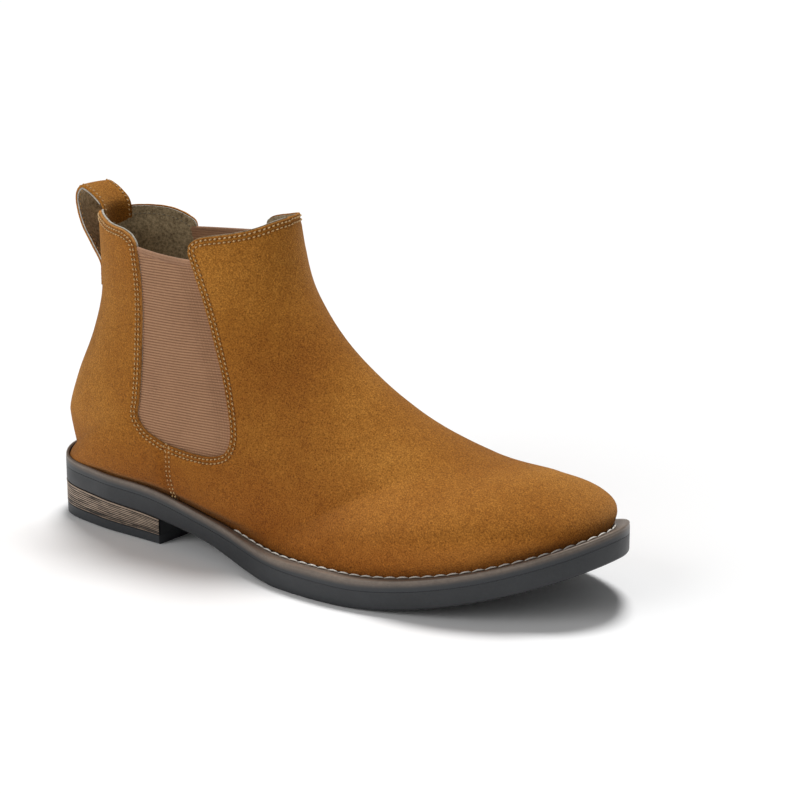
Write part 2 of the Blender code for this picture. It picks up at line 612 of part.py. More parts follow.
    # Heel: rubber top lift, moulded block, and the striped stacked-leather wrap round three sides
    lift_top = lambda x: smooth(x, [(-152, TOP_LIFT_BACK), (HEEL_BREAST, TOP_LIFT_FRONT), (150, TOP_LIFT_FRONT)])
    heel_box = clip_box("cut_heel", -170, HEEL_BREAST, cutters)
    lift = ladder("top_lift", halves(inset(RING, 0.2)), lambda x: 0 * x, lift_top, 40, parts, looks["rubber"])
    cut(lift, heel_box, "INTERSECT")
    bevel(lift, 0.6, 2, 50)
    low = above(lift_top, GAP)
    high = lambda x: np.maximum(sole_underside(x) - GAP, low(x) + 1)
    wrap = ladder("heel_wrap", halves(RING), low, high, 40, parts, looks["stack"])
    inner = ladder("cut_wrap", halves(inset(RING, WRAP_THICKNESS)), above(low, -3), above(high, 3), 40, cutters, None)
    inner.hide_render = True
    inner.display_type = "WIRE"
    cut(wrap, inner, "DIFFERENCE")
    cut(wrap, heel_box, "INTERSECT")
    block = ladder("heel_block", halves(inset(RING, WRAP_THICKNESS + GAP)), low, high, 40, parts, looks["sole"])
    cut(block, heel_box, "INTERSECT")
    for i, (x, y) in enumerate([(-136, 1), (-120, -17), (-120, 18), (-90, -18), (-90, 17)], 1):
        for name, r, spare, where, look in ((f"cut_nail_{i}", 1.5, 4.0, cutters, None),
                                            (f"heel_nail_{i}", 1.2, -0.2, parts, looks["steel"])):
            bottom, top = float(low(x)) - spare, float(high(x)) + spare
            bpy.ops.mesh.primitive_cylinder_add(
                vertices=10, radius=r * MM, depth=(top - bottom) * MM,
                location=((x - CENTRE[0]) * MM, (y - CENTRE[1]) * MM, (top + bottom) / 2 * MM))
            made = bpy.context.object
            made.name = name
            for other in list(made.users_collection):
                other.objects.unlink(made)
            where.objects.link(made)
            if look:
                made.data.materials.append(look)
            else:
                made.hide_render = True
                made.display_type = "WIRE"
                cut(block, made, "DIFFERENCE")


def main():
    clear()
    parts, cutters = collection("chelsea_boot"), collection("cutters")
    cutters.hide_render = True
    looks = {
        "suede": material("suede", (0.36, 0.15, 0.035), 0.95),
        "lining": material("lining", (0.15, 0.11, 0.06), 0.95),
        "elastic": material("elastic", (0.3, 0.16, 0.1), 0.85),
        "binding": material("binding", (0.34, 0.17, 0.1), 0.8),
        "stiffener": material("stiffener", (0.5, 0.42, 0.3), 0.7),
        "canvas": material("canvas", (0.6, 0.55, 0.45), 0.95),
        "sole": material("sole_rubber", (0.05, 0.055, 0.065), 0.55),
        "rubber": material("top_lift_rubber", (0.035, 0.038, 0.042), 0.6),
        "welt": material("welt", (0.15, 0.11, 0.085), 0.5),
        "thread": material("thread", (0.72, 0.68, 0.6), 0.7),
        "cork": material("cork", (0.42, 0.25, 0.12), 0.95),
        "fibre": material("fibre_board", (0.45, 0.3, 0.18), 0.85),
        "foam": material("heel_foam", (0.12, 0.1, 0.08), 0.9),
        "steel": material("steel", (0.6, 0.6, 0.62), 0.35, 1.0),
        "stack": material("stacked_leather", (0.2, 0.13, 0.09), 0.6),
    }
    build_upper(parts, cutters, looks)
    build_tab(parts, looks)
    build_bottom(parts, cutters, looks)


main()
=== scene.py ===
"""Looks of the chelsea boot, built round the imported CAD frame. Shapes are worked out in the last frame of the CAD,
in millimetres: +X to the toe, +Y to the inner side, +Z up.
"""
import functools
import math

import bpy
import bmesh
import numpy as np
from mathutils import Matrix, Vector, noise
from mathutils.geometry import delaunay_2d_cdt


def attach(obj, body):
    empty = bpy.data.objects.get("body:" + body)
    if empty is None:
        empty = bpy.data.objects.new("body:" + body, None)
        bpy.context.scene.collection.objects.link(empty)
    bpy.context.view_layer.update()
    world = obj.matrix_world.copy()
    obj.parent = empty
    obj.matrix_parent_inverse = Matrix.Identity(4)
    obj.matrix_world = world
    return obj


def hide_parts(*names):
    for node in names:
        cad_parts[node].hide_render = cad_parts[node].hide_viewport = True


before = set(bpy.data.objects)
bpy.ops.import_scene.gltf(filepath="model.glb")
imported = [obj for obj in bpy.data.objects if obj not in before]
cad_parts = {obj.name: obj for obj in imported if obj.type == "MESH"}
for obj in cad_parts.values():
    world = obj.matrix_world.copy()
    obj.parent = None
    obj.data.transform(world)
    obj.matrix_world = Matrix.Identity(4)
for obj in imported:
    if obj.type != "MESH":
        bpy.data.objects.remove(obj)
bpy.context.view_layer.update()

MM = 0.001

# Sole outline seen from above, from the back of the heel along the outer side to the toe and back
OUTLINE = [
    (-151, 0), (-140, -22), (-112, -31), (-75, -34.5), (-32, -40), (9, -51.5), (45, -54), (80, -47.5), (113, -35),
    (138, -16), (147, 6), (143, 21), (132, 36), (108, 48), (78, 51.5), (40, 47), (-5, 36), (-60, 32), (-112, 34),
    (-141, 22),
]
TOE_SPRING, SPRING_START, SPRING_POWER = 26.0, 42.0, 1.85
# The sole is flat on the floor from here to the start of the toe spring
TREAD_START = 8.0
# Heights along the boot (x, z): underside of the sole, top of the sole, top of the welt, before the toe spring
SOLE_UNDERSIDE = [(-152, 16.4), (-110, 14.4), (-74, 12.2), (-45, 8.6), (-15, 2.4), (8, 0), (30, 0), (150, 0)]
SOLE_TOP = [(-152, 23.8), (-110, 22.3), (-74, 20.6), (-40, 15.0), (0, 9.6), (40, 8.6), (150, 8.6)]
WELT_TOP = [(-152, 30.0), (-140, 28.6), (-110, 26.8), (-74, 25), (-40, 19.2), (0, 13.6), (40, 13.1), (150, 13.1)]
# How far the sole stands out past the foot of the upper
SOLE_EXTENSION = [(-153, 1.5), (-110, 2.3), (-74, 3.6), (-30, 5.5), (20, 7.8), (90, 7.8), (150, 9.2)]

HEEL_BREAST, TOP_LIFT_BACK, TOP_LIFT_FRONT = -71.5, 5.6, 4.4

# Upper: stations from the toe to the collar. Columns: station, top line x, top line z, outer half width,
# inner half width, height of the widest place, y of the top line, travel along the foot edge and back seam
STATIONS = [
    (0.00, 137.8, 34.2, 0, 0, 0.6, 7, 0.00), (0.03, 137.6, 39.2, 14, 13.5, 0.55, 7, 0.045),
    (0.06, 134.8, 44, 22, 21, 0.52, 7, 0.09), (0.11, 127.5, 49, 30, 28, 0.55, 6.5, 0.165),
    (0.20, 113.5, 54.5, 38, 36.5, 0.62, 5, 0.30), (0.34, 82, 58.5, 41.5, 40, 0.66, 3, 0.50),
    (0.48, 44, 73.5, 38.5, 35.5, 0.70, 1, 0.72), (0.60, 13, 95, 37, 33, 0.66, 0, 0.90),
    (0.72, -8, 117, 36.5, 34.5, 0.52, 0, 1.05), (0.86, -17, 138, 33, 32.5, 0.50, 0, 1.50),
    (1.00, -20.5, 157, 30.5, 30.5, 0.50, 0, 2.00),
]
BACK_SEAM = [(-149.5, 27.4), (-149.3, 46), (-143.3, 64), (-132, 88), (-126, 108), (-126.5, 128), (-127.5, 150)]

# The upper's skin runs this far below the top of the welt
FOOT_SPARE = 2.5

# Panel borders in the side view (x, z)
SIDE_SEAM_X = -65.0
GORE_BORDER = [
    (-65, 49.6), (-47, 47.6), (-37, 48.2), (-30.5, 51), (-28.3, 57), (-33, 76), (-42, 105), (-50, 126), (-54, 136),
]
GORE_BACK = [
    (-65, 49.6), (-70, 51.3), (-77, 54.5), (-81.2, 60), (-80.2, 68), (-79.3, 80), (-79.5, 94), (-81, 115),
    (-83.5, 130), (-85, 136.5),
]
VAMP_TOP = [
    (-54, 136), (-54.5, 139), (-53.9, 141), (-52.3, 142.6), (-49.8, 143.9), (-46.5, 144.8), (-40.4, 145.8),
    (-33.6, 147), (-28.5, 148.3), (-24.8, 149.7), (-21.5, 151.4), (-18, 153),
]
QUARTER_TOP = [
    (-85, 136.5), (-86, 138.8), (-89.2, 141.4), (-95.3, 143.2), (-101, 143.6), (-107, 144.1), (-113, 145.4),
    (-120, 146.6), (-128, 146),
]
# On the inner side the gore's back edge leans further back, by this much at the top
INNER_LEAN = 11.5
VAMP_TOP_INNER = [
    (-54, 136), (-55.2, 141), (-54.2, 144), (-51, 145.9), (-46, 147.3), (-40, 148.6), (-33, 150.3), (-26.5, 151.8),
    (-22, 152.6), (-18, 153),
]
QUARTER_TOP_INNER = [(-96.5, 136.5), (-97.6, 139.2), (-101.4, 142), (-109, 145), (-119, 146.2), (-128, 146)]
# Ends (x, z) of the gore's top edge, back and front
GORE_TOP, GORE_TOP_INNER = [(-86, 136.8), (-54.5, 134.3)], [(-97, 136.5), (-55, 138.9)]

TAB_WIDTH = 19.0
# Middle line (x, z) of the strap's loop, from the back of the boot over the top to the collar
TAB_LOOP = [
    (-133.0, 129.5), (-138.8, 138.5), (-141.5, 147.5), (-140.5, 153.4), (-136.9, 156.6), (-132.8, 155.4),
    (-128.6, 152.6), (-125.6, 149.6),
]

STITCH_PITCH = 5.6


def smooth(x, table):
    """Value at x of a smooth curve through the (x, value) pairs of a table; a row may hold several values."""
    table = np.asarray(table, float)
    xs, ys = table[:, 0], table[:, 1:]
    step = np.diff(xs)
    rise = np.diff(ys, axis=0) / step[:, None]
    slope = np.empty_like(ys)
    slope[1:-1] = (rise[:-1] * step[1:, None] + rise[1:] * step[:-1, None]) / (step[:-1] + step[1:])[:, None]
    slope[0] = 1.5 * rise[0] - 0.5 * slope[1]
    slope[-1] = 1.5 * rise[-1] - 0.5 * slope[-2]
    x = np.clip(np.asarray(x, float), xs[0], xs[-1])
    k = np.clip(np.searchsorted(xs, x, side="right") - 1, 0, len(step) - 1)
    u, h = ((x - xs[k]) / step[k])[..., None], step[k][..., None]
    out = (ys[k] * (2 * u**3 - 3 * u**2 + 1) + slope[k] * h * (u**3 - 2 * u**2 + u)
           + ys[k + 1] * (3 * u**2 - 2 * u**3) + slope[k + 1] * h * (u**3 - u**2))
    return out[..., 0] if ys.shape[1] == 1 else out


def lengths(points):
    return np.r_[0, np.cumsum(np.linalg.norm(np.diff(points, axis=0), axis=1))]


def resample(points, count, closed=False):
    """A smooth curve through the points, as count points at equal steps along it."""
    points = np.asarray(points, float)
    ring = np.vstack([points[-3:], points, points[:4]]) if closed else points
    at = np.r_[0, np.cumsum(np.sqrt(np.linalg.norm(np.diff(ring, axis=0), axis=1)))]
    first, last = (at[3], at[3 + len(points)]) if closed else (at[0], at[-1])
    fine = smooth(np.linspace(first, last, 40 * len(points)), np.c_[at, ring])
    run = lengths(fine)
    steps = np.linspace(0, run[-1], count, endpoint=not closed)
    return np.stack([np.interp(steps, run, fine[:, i]) for i in range(points.shape[1])], 1)


def polyline(points, count):
    """Points at equal steps along a broken line."""
    run = lengths(points)
    return np.stack([np.interp(np.linspace(0, run[-1], count), run, points[:, i]) for i in range(points.shape[1])], 1)


def spring(x):
    return TOE_SPRING * np.clip((np.asarray(x, float) - SPRING_START) / (150 - SPRING_START), 0, None) ** SPRING_POWER


def sole_underside(x):
    return np.clip(smooth(x, SOLE_UNDERSIDE), 0, None) * (np.asarray(x) < TREAD_START) + spring(x)


def sole_top(x):
    return smooth(x, SOLE_TOP) + spring(x)


def welt_top(x):
    return smooth(x, WELT_TOP) + spring(x)


RING = resample(OUTLINE, 1200, closed=True)
CENTRE = (RING.max(0) + RING.min(0)) / 2


def inset(ring, depth):
    """The outline moved inwards by a depth, which may differ from point to point."""
    along = np.roll(ring, -1, 0) - np.roll(ring, 1, 0)
    along /= np.linalg.norm(along, axis=1)[:, None]
    inward = np.c_[-along[:, 1], along[:, 0]]
    inward *= np.sign(((ring.mean(0) - ring) * inward).sum(1).mean())
    return ring + inward * (np.zeros(len(ring)) + depth)[:, None]


def halves(ring):
    """Outer and inner side of an outline, each from the toe tip to the back of the heel."""
    ring = np.roll(ring, -ring[:, 0].argmax(), 0)
    back = ring[:, 0].argmin()
    one, other = ring[: back + 1], np.vstack([ring[back:], ring[:1]])[::-1]
    return (one, other) if one[:, 1].mean() < other[:, 1].mean() else (other, one)


def foot_edge(depth=0.0):
    return inset(RING, smooth(RING[:, 0], SOLE_EXTENSION) + depth)


FOOT_HALVES = halves(foot_edge())


def section(top, foot, half_width, widest, edge_half, closing, count, tuck=2.2):
    """Half a section of the upper from its top line to its foot, count points, as (along, sideways)."""
    span = np.hypot(foot[0] - top[0], foot[1] - top[1]) + 1e-6
    half = max(half_width, edge_half + 0.5)
    angle = np.linspace(0, np.pi / 2, 60)
    upper = np.c_[widest * span * (1 - np.cos(angle) ** (2 / 2.2)), half * np.sin(angle)]
    drop = np.sin(angle)
    fall = (1 - closing) * (1 - drop ** tuck) + closing * np.cos(angle)
    lower = np.c_[widest * span + (1 - widest) * span * drop, edge_half + (half - edge_half) * fall]
    return polyline(np.vstack([upper, lower[1:]]), count), span


def skin(rows, columns):
    """Points of the upper's outer face, rows x (2 columns - 1) x 3, outer side first."""
    table = np.asarray(STATIONS, float)
    t = np.linspace(0, 1, rows)
    top_x, top_z, outer, inner, widest, mid, travel = smooth(t, table).T
    seam = resample(BACK_SEAM, 200)
    grid = np.zeros((rows, 2 * columns - 1, 3))
    for half, width, sign in ((FOOT_HALVES[0], outer, -1), (FOOT_HALVES[1], inner, 1)):
        run = lengths(half)
        for i in range(rows):
            if travel[i] <= 1:
                at = travel[i] * run[-1]
                edge = np.array([np.interp(at, run, half[:, 0]), np.interp(at, run, half[:, 1])])
                foot = (edge[0], float(welt_top(edge[0])) - FOOT_SPARE)
                side = edge[1]
            else:
                at = (travel[i] - 1) * 199
                foot = tuple(np.interp(at, np.arange(200), seam[:, j]) for j in (0, 1))
                side = 0.0
            closing = np.clip((travel[i] - 0.9) / 0.25, 0, 1)
            edge_half = (side - mid[i]) * sign
            pts, span = section((top_x[i], top_z[i]), foot, width[i], widest[i], edge_half, closing, columns)
            line = np.empty((columns, 3))
            line[:, 0] = top_x[i] + (foot[0] - top_x[i]) * pts[:, 0] / span
            line[:, 2] = top_z[i] + (foot[1] - top_z[i]) * pts[:, 0] / span
            line[:, 1] = mid[i] + sign * pts[:, 1]
            if sign < 0:
                grid[i, :columns] = line[::-1]
            else:
                grid[i, columns - 1:] = line
    grid[0] = grid[0, columns - 1]
    return grid


def grid_normals(grid):
    """Outward unit normals of a skin grid."""
    down = np.gradient(grid, axis=0)
    across = np.gradient(grid, axis=1)
    normal = np.cross(down, across)
    normal /= np.linalg.norm(normal, axis=2)[..., None].clip(1e-9)
    normal *= np.sign(normal[grid.shape[0] // 3, grid.shape[1] // 2, 2])
    # At the toe tip all columns meet in one point, and up the back seam the first and last column meet
    normal[0] = normal[1].mean(0)
    seam = np.abs(grid[:, 0] - grid[:, -1]).max(1) < 0.01
    normal[seam, 0] = normal[seam, -1] = (normal[seam, 0] + normal[seam, -1]) * [1, 0, 1]
    return normal / np.linalg.norm(normal, axis=2)[..., None].clip(1e-9)


def grid_faces(rows, columns, wrap_rows=False, wrap_columns=False):
    faces = []
    for i in range(rows if wrap_rows else rows - 1):
        for j in range(columns if wrap_columns else columns - 1):
            a, b = i, (i + 1) % rows
            c, d = j, (j + 1) % columns
            faces.append((a * columns + c, b * columns + c, b * columns + d, a * columns + d))
    return faces


# ---------- the skin as a surface that can be read between its grid points ----------

FINE_ROWS, FINE_COLUMNS = 241, 81
SKIN = skin(FINE_ROWS, FINE_COLUMNS)
NORMALS = grid_normals(SKIN)
MIDDLE_COLUMN = FINE_COLUMNS - 1
LAST_COLUMN = 2 * MIDDLE_COLUMN
# Rough length of one row step and one column step, so that a flat map of the grid has even triangles
ROW_SCALE, COLUMN_SCALE = 1.25, 1.5


def read_grid(grid, r, c):
    """Value of a grid at fractional rows and columns, smooth to the first derivative."""
    r, c = np.asarray(r, float), np.asarray(c, float)

    def weights(x, last):
        k = np.clip(np.floor(x).astype(int), 0, last - 1)
        u = x - k
        w = np.stack([-0.5 * u + u**2 - 0.5 * u**3, 1 - 2.5 * u**2 + 1.5 * u**3,
                      0.5 * u + 2 * u**2 - 1.5 * u**3, -0.5 * u**2 + 0.5 * u**3])
        return np.stack([np.clip(k + i, 0, last) for i in (-1, 0, 1, 2)]), w

    rows, wr = weights(r, grid.shape[0] - 1)
    columns, wc = weights(c, grid.shape[1] - 1)
    out = 0
    for i in range(4):
        for j in range(4):
            out = out + grid[rows[i], columns[j]] * (wr[i] * wc[j])[..., None]
    return out


def on_skin(rc):
    return read_grid(SKIN, rc[:, 0], rc[:, 1])


def normals_at(rc):
    out = read_grid(NORMALS, rc[:, 0], rc[:, 1])
    return out / np.linalg.norm(out, axis=1)[:, None].clip(1e-9)


def slopes_at(rc, step=0.02):
    """Change of place for one row and for one column."""
    low = np.maximum(rc - [step, step], 0)
    high = np.minimum(rc + [step, step], [FINE_ROWS - 1, LAST_COLUMN])
    along = (on_skin(np.c_[high[:, 0], rc[:, 1]]) - on_skin(np.c_[low[:, 0], rc[:, 1]]))
    across = (on_skin(np.c_[rc[:, 0], high[:, 1]]) - on_skin(np.c_[rc[:, 0], low[:, 1]]))
    return along / (high[:, 0] - low[:, 0])[:, None], across / (high[:, 1] - low[:, 1])[:, None]


def find(points, side):
    """Rows and columns of the side-view points (x, z) on the outer (-1) or inner (1) side."""
    points = np.asarray(points, float)
    columns = slice(0, MIDDLE_COLUMN + 1) if side < 0 else slice(MIDDLE_COLUMN, None)
    first = 0 if side < 0 else MIDDLE_COLUMN
    grid = SKIN[:, columns][..., [0, 2]]
    rc = []
    for p in points:
        k = ((grid - p) ** 2).sum(2).argmin()
        rc.append((k // grid.shape[1], k % grid.shape[1] + first))
    rc = np.array(rc, float)
    for _ in range(8):
        miss = points - on_skin(rc)[:, [0, 2]]
        a, b = (s[:, [0, 2]] for s in slopes_at(rc))
        det = a[:, 0] * b[:, 1] - a[:, 1] * b[:, 0]
        det = np.where(np.abs(det) < 1e-6, 1e-6, det)
        step = np.c_[miss[:, 0] * b[:, 1] - miss[:, 1] * b[:, 0], a[:, 0] * miss[:, 1] - a[:, 1] * miss[:, 0]]
        rc = rc + np.clip(step / det[:, None], -2, 2)
        rc[:, 0] = np.clip(rc[:, 0], 0, FINE_ROWS - 1)
        rc[:, 1] = np.clip(rc[:, 1], first, first + MIDDLE_COLUMN)
    return rc


def level_crossing(edge, columns):
    """Rows and columns where the skin crosses a height given as a function of x, one for each column."""
    rows = np.linspace(0, FINE_ROWS - 1, 2400)
    rc = []
    for c in columns:
        line = on_skin(np.c_[rows, np.full(len(rows), c)])
        above = line[:, 2] - edge(line[:, 0])
        k = np.nonzero((above[:-1] < 0) & (above[1:] >= 0))[0]
        k = k[-1] if len(k) else len(rows) - 2
        share = np.clip(above[k] / (above[k] - above[k + 1] + 1e-12), 0, 1)
        rc.append((rows[k] + share * (rows[k + 1] - rows[k]), c))
    return np.array(rc)


def curve_height(points):
    """Height of a border as a function of x."""
    points = resample(points, 120)
    order = np.argsort(points[:, 0])
    xs, zs = points[order, 0], points[order, 1]
    return lambda x: np.interp(x, xs, zs)


def spread(rc, pitch):
    """The same path with points at an even pitch in space."""
    at = lengths(on_skin(rc))
    count = max(2, int(round(at[-1] / pitch)) + 1)
    s = np.linspace(0, at[-1], count)
    return np.c_[np.interp(s, at, rc[:, 0]), np.interp(s, at, rc[:, 1])]


def step_off(rc, distance, step=0.5):
    """A path on the skin moved sideways, to its left seen from outside the boot, by a distance in millimetres."""
    rc = rc.copy()
    count = max(1, int(math.ceil(abs(distance) / step)))
    for _ in range(count):
        points = on_skin(rc)
        along = np.gradient(points, axis=0)
        along /= np.linalg.norm(along, axis=1)[:, None].clip(1e-9)
        if len(along) > 8:
            along[1:-1] = (along[:-2] + along[1:-1] + along[2:]) / 3
        left = np.cross(normals_at(rc), along)
        left /= np.linalg.norm(left, axis=1)[:, None].clip(1e-9)
        want = left * distance / count
        a, b = slopes_at(rc)
        aa, bb, ab = (a * a).sum(1), (b * b).sum(1), (a * b).sum(1)
        wa, wb = (a * want).sum(1), (b * want).sum(1)
        det = (aa * bb - ab * ab).clip(1e-9)
        rc += np.c_[(wa * bb - wb * ab) / det, (wb * aa - wa * ab) / det]
        rc[:, 0] = np.clip(rc[:, 0], 0, FINE_ROWS - 1)
        rc[:, 1] = np.clip(rc[:, 1], 0, LAST_COLUMN)
    return rc


# ---------- borders of the panels, as rows and columns on the skin ----------

def gore_edges(side, count=150):
    """Front and back edge of the gore in the side view, both from the bottom up."""
    front, back = resample(GORE_BORDER, count), resample(GORE_BACK, count)
    if side > 0:
        back[:, 0] -= INNER_LEAN * np.clip((back[:, 1] - 50) / 60, 0, 1)
    return front, back


def gore_top(side, x):
    (x0, z0), (x1, z1) = GORE_TOP if side < 0 else GORE_TOP_INNER
    return z0 + (z1 - z0) * (np.asarray(x, float) - x0) / (x1 - x0)


def seam_line(side, x=SIDE_SEAM_X):
    """The side seam, from the gore's bottom down to the foot of the upper."""
    rim = 0 if side < 0 else LAST_COLUMN
    rows = np.linspace(0, FINE_ROWS - 1, 2000)
    foot = on_skin(np.c_[rows, np.full(len(rows), rim)])
    k = np.nonzero(foot[:, 0] > x)[0][-1]
    line = find([(x, z) for z in np.linspace(GORE_BORDER[0][1], foot[k, 2] + 1.5, 40)], side)
    return np.vstack([line, [(rows[k], rim)]])


def top_edge(top, beyond, corner_points, side, rise, last):
    """A top edge, lifted by a rise. Its first corner_points are followed in the side view, and the rest of it is
    where the skin crosses its height, up to the last column. beyond is a point past its end."""
    count = 10 * corner_points
    corner = find(resample(top[:corner_points], count) + np.c_[np.zeros(count), np.linspace(0, rise, count)], side)
    height = curve_height(top[1:] + beyond)
    columns = np.linspace(corner[-1, 1], last, 90)[1:]
    return np.vstack([corner, level_crossing(lambda x: height(x) + rise, columns)])


def vamp_top(side, rise=0.0):
    """The vamp's top edge from the gore's top corner to the middle of the front."""
    return top_edge(VAMP_TOP if side < 0 else VAMP_TOP_INNER, [(-8, 153.5)], 4, side, rise, MIDDLE_COLUMN)


def quarter_top(side, rise=0.0):
    """The quarter's top edge from the gore's top corner to the back seam."""
    last = 0 if side < 0 else LAST_COLUMN
    return top_edge(QUARTER_TOP if side < 0 else QUARTER_TOP_INNER, [], 3, side, rise, last)


# ---------- panels ----------

def inside(polygon, points):
    """Which points lie in a closed polygon."""
    x, y = points.T
    found = np.zeros(len(points), bool)
    for (ax, ay), (bx, by) in zip(polygon, np.roll(polygon, -1, 0)):
        if ay == by:
            continue
        hit = ((ay > y) != (by > y)) & (x < (bx - ax) * (y - ay) / (by - ay) + ax)
        found ^= hit
    return found


def nearest(points, samples):
    """Distance from each point to the nearest sample."""
    out = np.empty(len(points))
    for i in range(0, len(points), 2000):
        part = points[i:i + 2000]
        out[i:i + 2000] = np.sqrt(((part[:, None] - samples[None]) ** 2).sum(2).min(1))
    return out


def wobble(points, size, seed):
    """Smooth noise of about -1 to 1 at points in millimetres."""
    return np.array([noise.noise(Vector((p / size).tolist()) + Vector((seed, seed * 0.7, -seed))) for p in points])


def inner_points(polygon, pitch):
    """Points at about an even pitch over the skin, inside the polygon of rows and columns."""
    step = np.linalg.norm(np.diff(SKIN, axis=0), axis=2)
    low, high = polygon[:, 0].min(), polygon[:, 0].max()
    r, out, turn = low + 0.3, [], 0
    while r < high:
        line = read_grid(SKIN, np.full(200, r), np.linspace(0, LAST_COLUMN, 200))
        count = max(4, int(lengths(line)[-1] / pitch))
        c = np.linspace(0, LAST_COLUMN, count, endpoint=False) + (0.5 * turn + 0.25) * LAST_COLUMN / count
        out.append(np.c_[np.full(count, r), c])
        turn = 1 - turn
        r += pitch * 0.9 / max(np.percentile(step[int(r)], 75), 0.3)
    out = np.vstack(out)
    return out[inside(polygon, out)]


# A panel's mesh is fine along its cut edges: rows of points at these distances from one, the first few along a seam
BAND, SEAM_BAND = (0.18, 0.4, 0.7, 1.0, 1.35, 1.7, 2.1, 2.6, 3.1, 3.5, 3.9, 4.4, 5.2, 6.2), 5
# Spacing of points along a cut edge, along a hidden edge, and along the rows
EDGE_PITCH, HIDDEN_PITCH, BAND_PITCH = 0.75, 2.2, 0.95
# Nearest that a row's point and a filling point may lie to the border, in the flat map of the grid
BAND_ROOM, FILLER_ROOM = 0.12, 0.7


def panel(name, pieces, depth, thickness, pitch, looks, hollow=None, even=False):
    """A closed piece of sheet on the skin. pieces are the parts of its border in turn, each (path, sign): sign is the
    side of the path that the sheet lies on, 2 or -2 on a closed seam, or 0 where the edge is hidden. depth(places,
    distance) is how deep the outer face lies at a point that far from the cut edges; hollow is a value to store with
    each point, from the same two. An even sheet is as thick at its edge as elsewhere."""
    border, shown, band = [], [], []
    for path, sign in pieces:
        fine = spread(path, EDGE_PITCH if sign else HIDDEN_PITCH)
        border.append(fine[:-1])
        if abs(sign) == 1:
            shown.append(on_skin(spread(path, 0.35)))
        for d in BAND if abs(sign) == 1 else BAND[:SEAM_BAND] if sign else ():
            band.append(step_off(spread(path, BAND_PITCH), np.sign(sign) * d)[1:-1])
    border = np.vstack(border)
    shown = np.vstack(shown)
    band = np.vstack(band)
    scale = [ROW_SCALE, COLUMN_SCALE]
    flat = border * scale
    keep = [i for i in range(len(flat)) if np.linalg.norm(flat[i] - flat[i - 1]) > 0.02]
    flat, border = flat[keep], border[keep]
    band = band[inside(border, band)]
    band = band[nearest(band * scale, flat) > BAND_ROOM]
    filler = inner_points(border, pitch)
    filler = filler[nearest(filler * scale, flat) > FILLER_ROOM]
    filler = filler[nearest(on_skin(filler), shown) > BAND[-1] + 0.6]
    points = np.vstack([border, band, filler])
    flat = points * scale
    n = len(border)
    found, _, faces, _, _, _ = delaunay_2d_cdt(
        [Vector(p) for p in flat.tolist()], [(i, (i + 1) % n) for i in range(n)], [], 1, 1e-4)
    rc = np.array([tuple(v) for v in found]) / scale
    places = on_skin(rc)
    normal = normals_at(rc)
    distance = nearest(places, shown)
    outer = places - normal * depth(places, distance)[:, None]
    inner = places - normal * (depth(places, distance if even else distance + 99) + thickness)[:, None]
    return sheet_object(name, outer, inner, faces, looks, **({"hollow": hollow(places, distance)} if hollow else {}))


def store(obj, **values):
    """Values for each point, for the shader to read. A short list is filled up with noughts."""
    for name, numbers in values.items():
        layer = obj.data.attributes.new(name, "FLOAT", "POINT")
        numbers = np.r_[numbers, np.zeros(len(obj.data.vertices) - len(numbers))]
        layer.data.foreach_set("value", numbers.astype(np.float32))


def both_faces(faces, count):
    """The faces of a sheet, the same on its other side, count points later, and the walls round its free edges."""
    used = {}
    for face in faces:
        used.update(dict.fromkeys(zip(face, (*face[1:], face[0]))))
    walls = [(j, i, count + i, count + j) for i, j in used if (j, i) not in used]
    return [*faces, *(tuple(count + i for i in f)[::-1] for f in faces)], walls


def capped(rows, columns):
    """Faces of a closed tube. Each row is a line along it, and the rows go round it."""
    return grid_faces(rows, columns, True) + [
        tuple(i * columns for i in range(rows)), tuple(i * columns + columns - 1 for i in range(rows))[::-1]]


def sheet_object(name, outer, inner, faces, looks, **values):
    """Two faces of one sheet joined by a wall round their free edges."""
    faces, walls = both_faces(faces, len(outer))
    obj = mesh_object(name, np.vstack([outer, inner]), faces + walls, looks)
    store(obj, **values)
    for polygon in obj.data.polygons[len(faces):]:
        polygon.material_index = len(looks) - 1
    return clean(obj)


def link(name, data):
    obj = bpy.data.objects.new(name, data)
    bpy.context.scene.collection.objects.link(obj)
    return obj


def mesh_object(name, points, faces, looks):
    """An object from points in the last frame, in millimetres."""
    points = (np.asarray(points, float) - [*CENTRE, 0]) * MM
    mesh = bpy.data.meshes.new(name)
    mesh.from_pydata(points.tolist(), [], [list(map(int, f)) for f in faces])
    for look in looks:
        mesh.materials.append(look)
    return link(name, mesh)


# Points this close, in metres, are joined: for panels, and for pieces with fine detail
MERGE, FINE_MERGE = 2e-5, 1e-7


def clean(obj, merge=MERGE, sharp=60):
    """Joins double points, turns the faces outwards and shades them smooth, but for edges sharper than an angle."""
    work = bmesh.new()
    work.from_mesh(obj.data)
    bmesh.ops.remove_doubles(work, verts=work.verts, dist=merge)
    bmesh.ops.dissolve_degenerate(work, edges=work.edges, dist=1e-6)
    bmesh.ops.recalc_face_normals(work, faces=work.faces)
    work.to_mesh(obj.data)
    work.free()
    obj.data.shade_smooth()
    if sharp:
        obj.data.set_sharp_from_angle(angle=math.radians(sharp))
    return obj


def done(obj, slot, *nodes):
    """Fixes a piece to the boot and hides the CAD nodes that it stands for; slot, the piece's material slot, is not
    used.
    """
    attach(obj, "root")
    if nodes:
        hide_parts(*nodes)
    return obj


def ease(x, low, high):
    """A smooth step from 0 at low to 1 at high."""
    u = np.clip((np.asarray(x, float) - low) / (high - low), 0, 1)
    return u * u * (3 - 2 * u)


# Two rows of stitching along each cut edge, at these distances from it, and the length from stitch to stitch
ROW_A, ROW_B, UPPER_PITCH = 1.15, 3.05, 2.25
TUCK_DEPTH, GROOVE_DEPTH, EDGE_RADIUS = 1.9, 0.26, 0.62


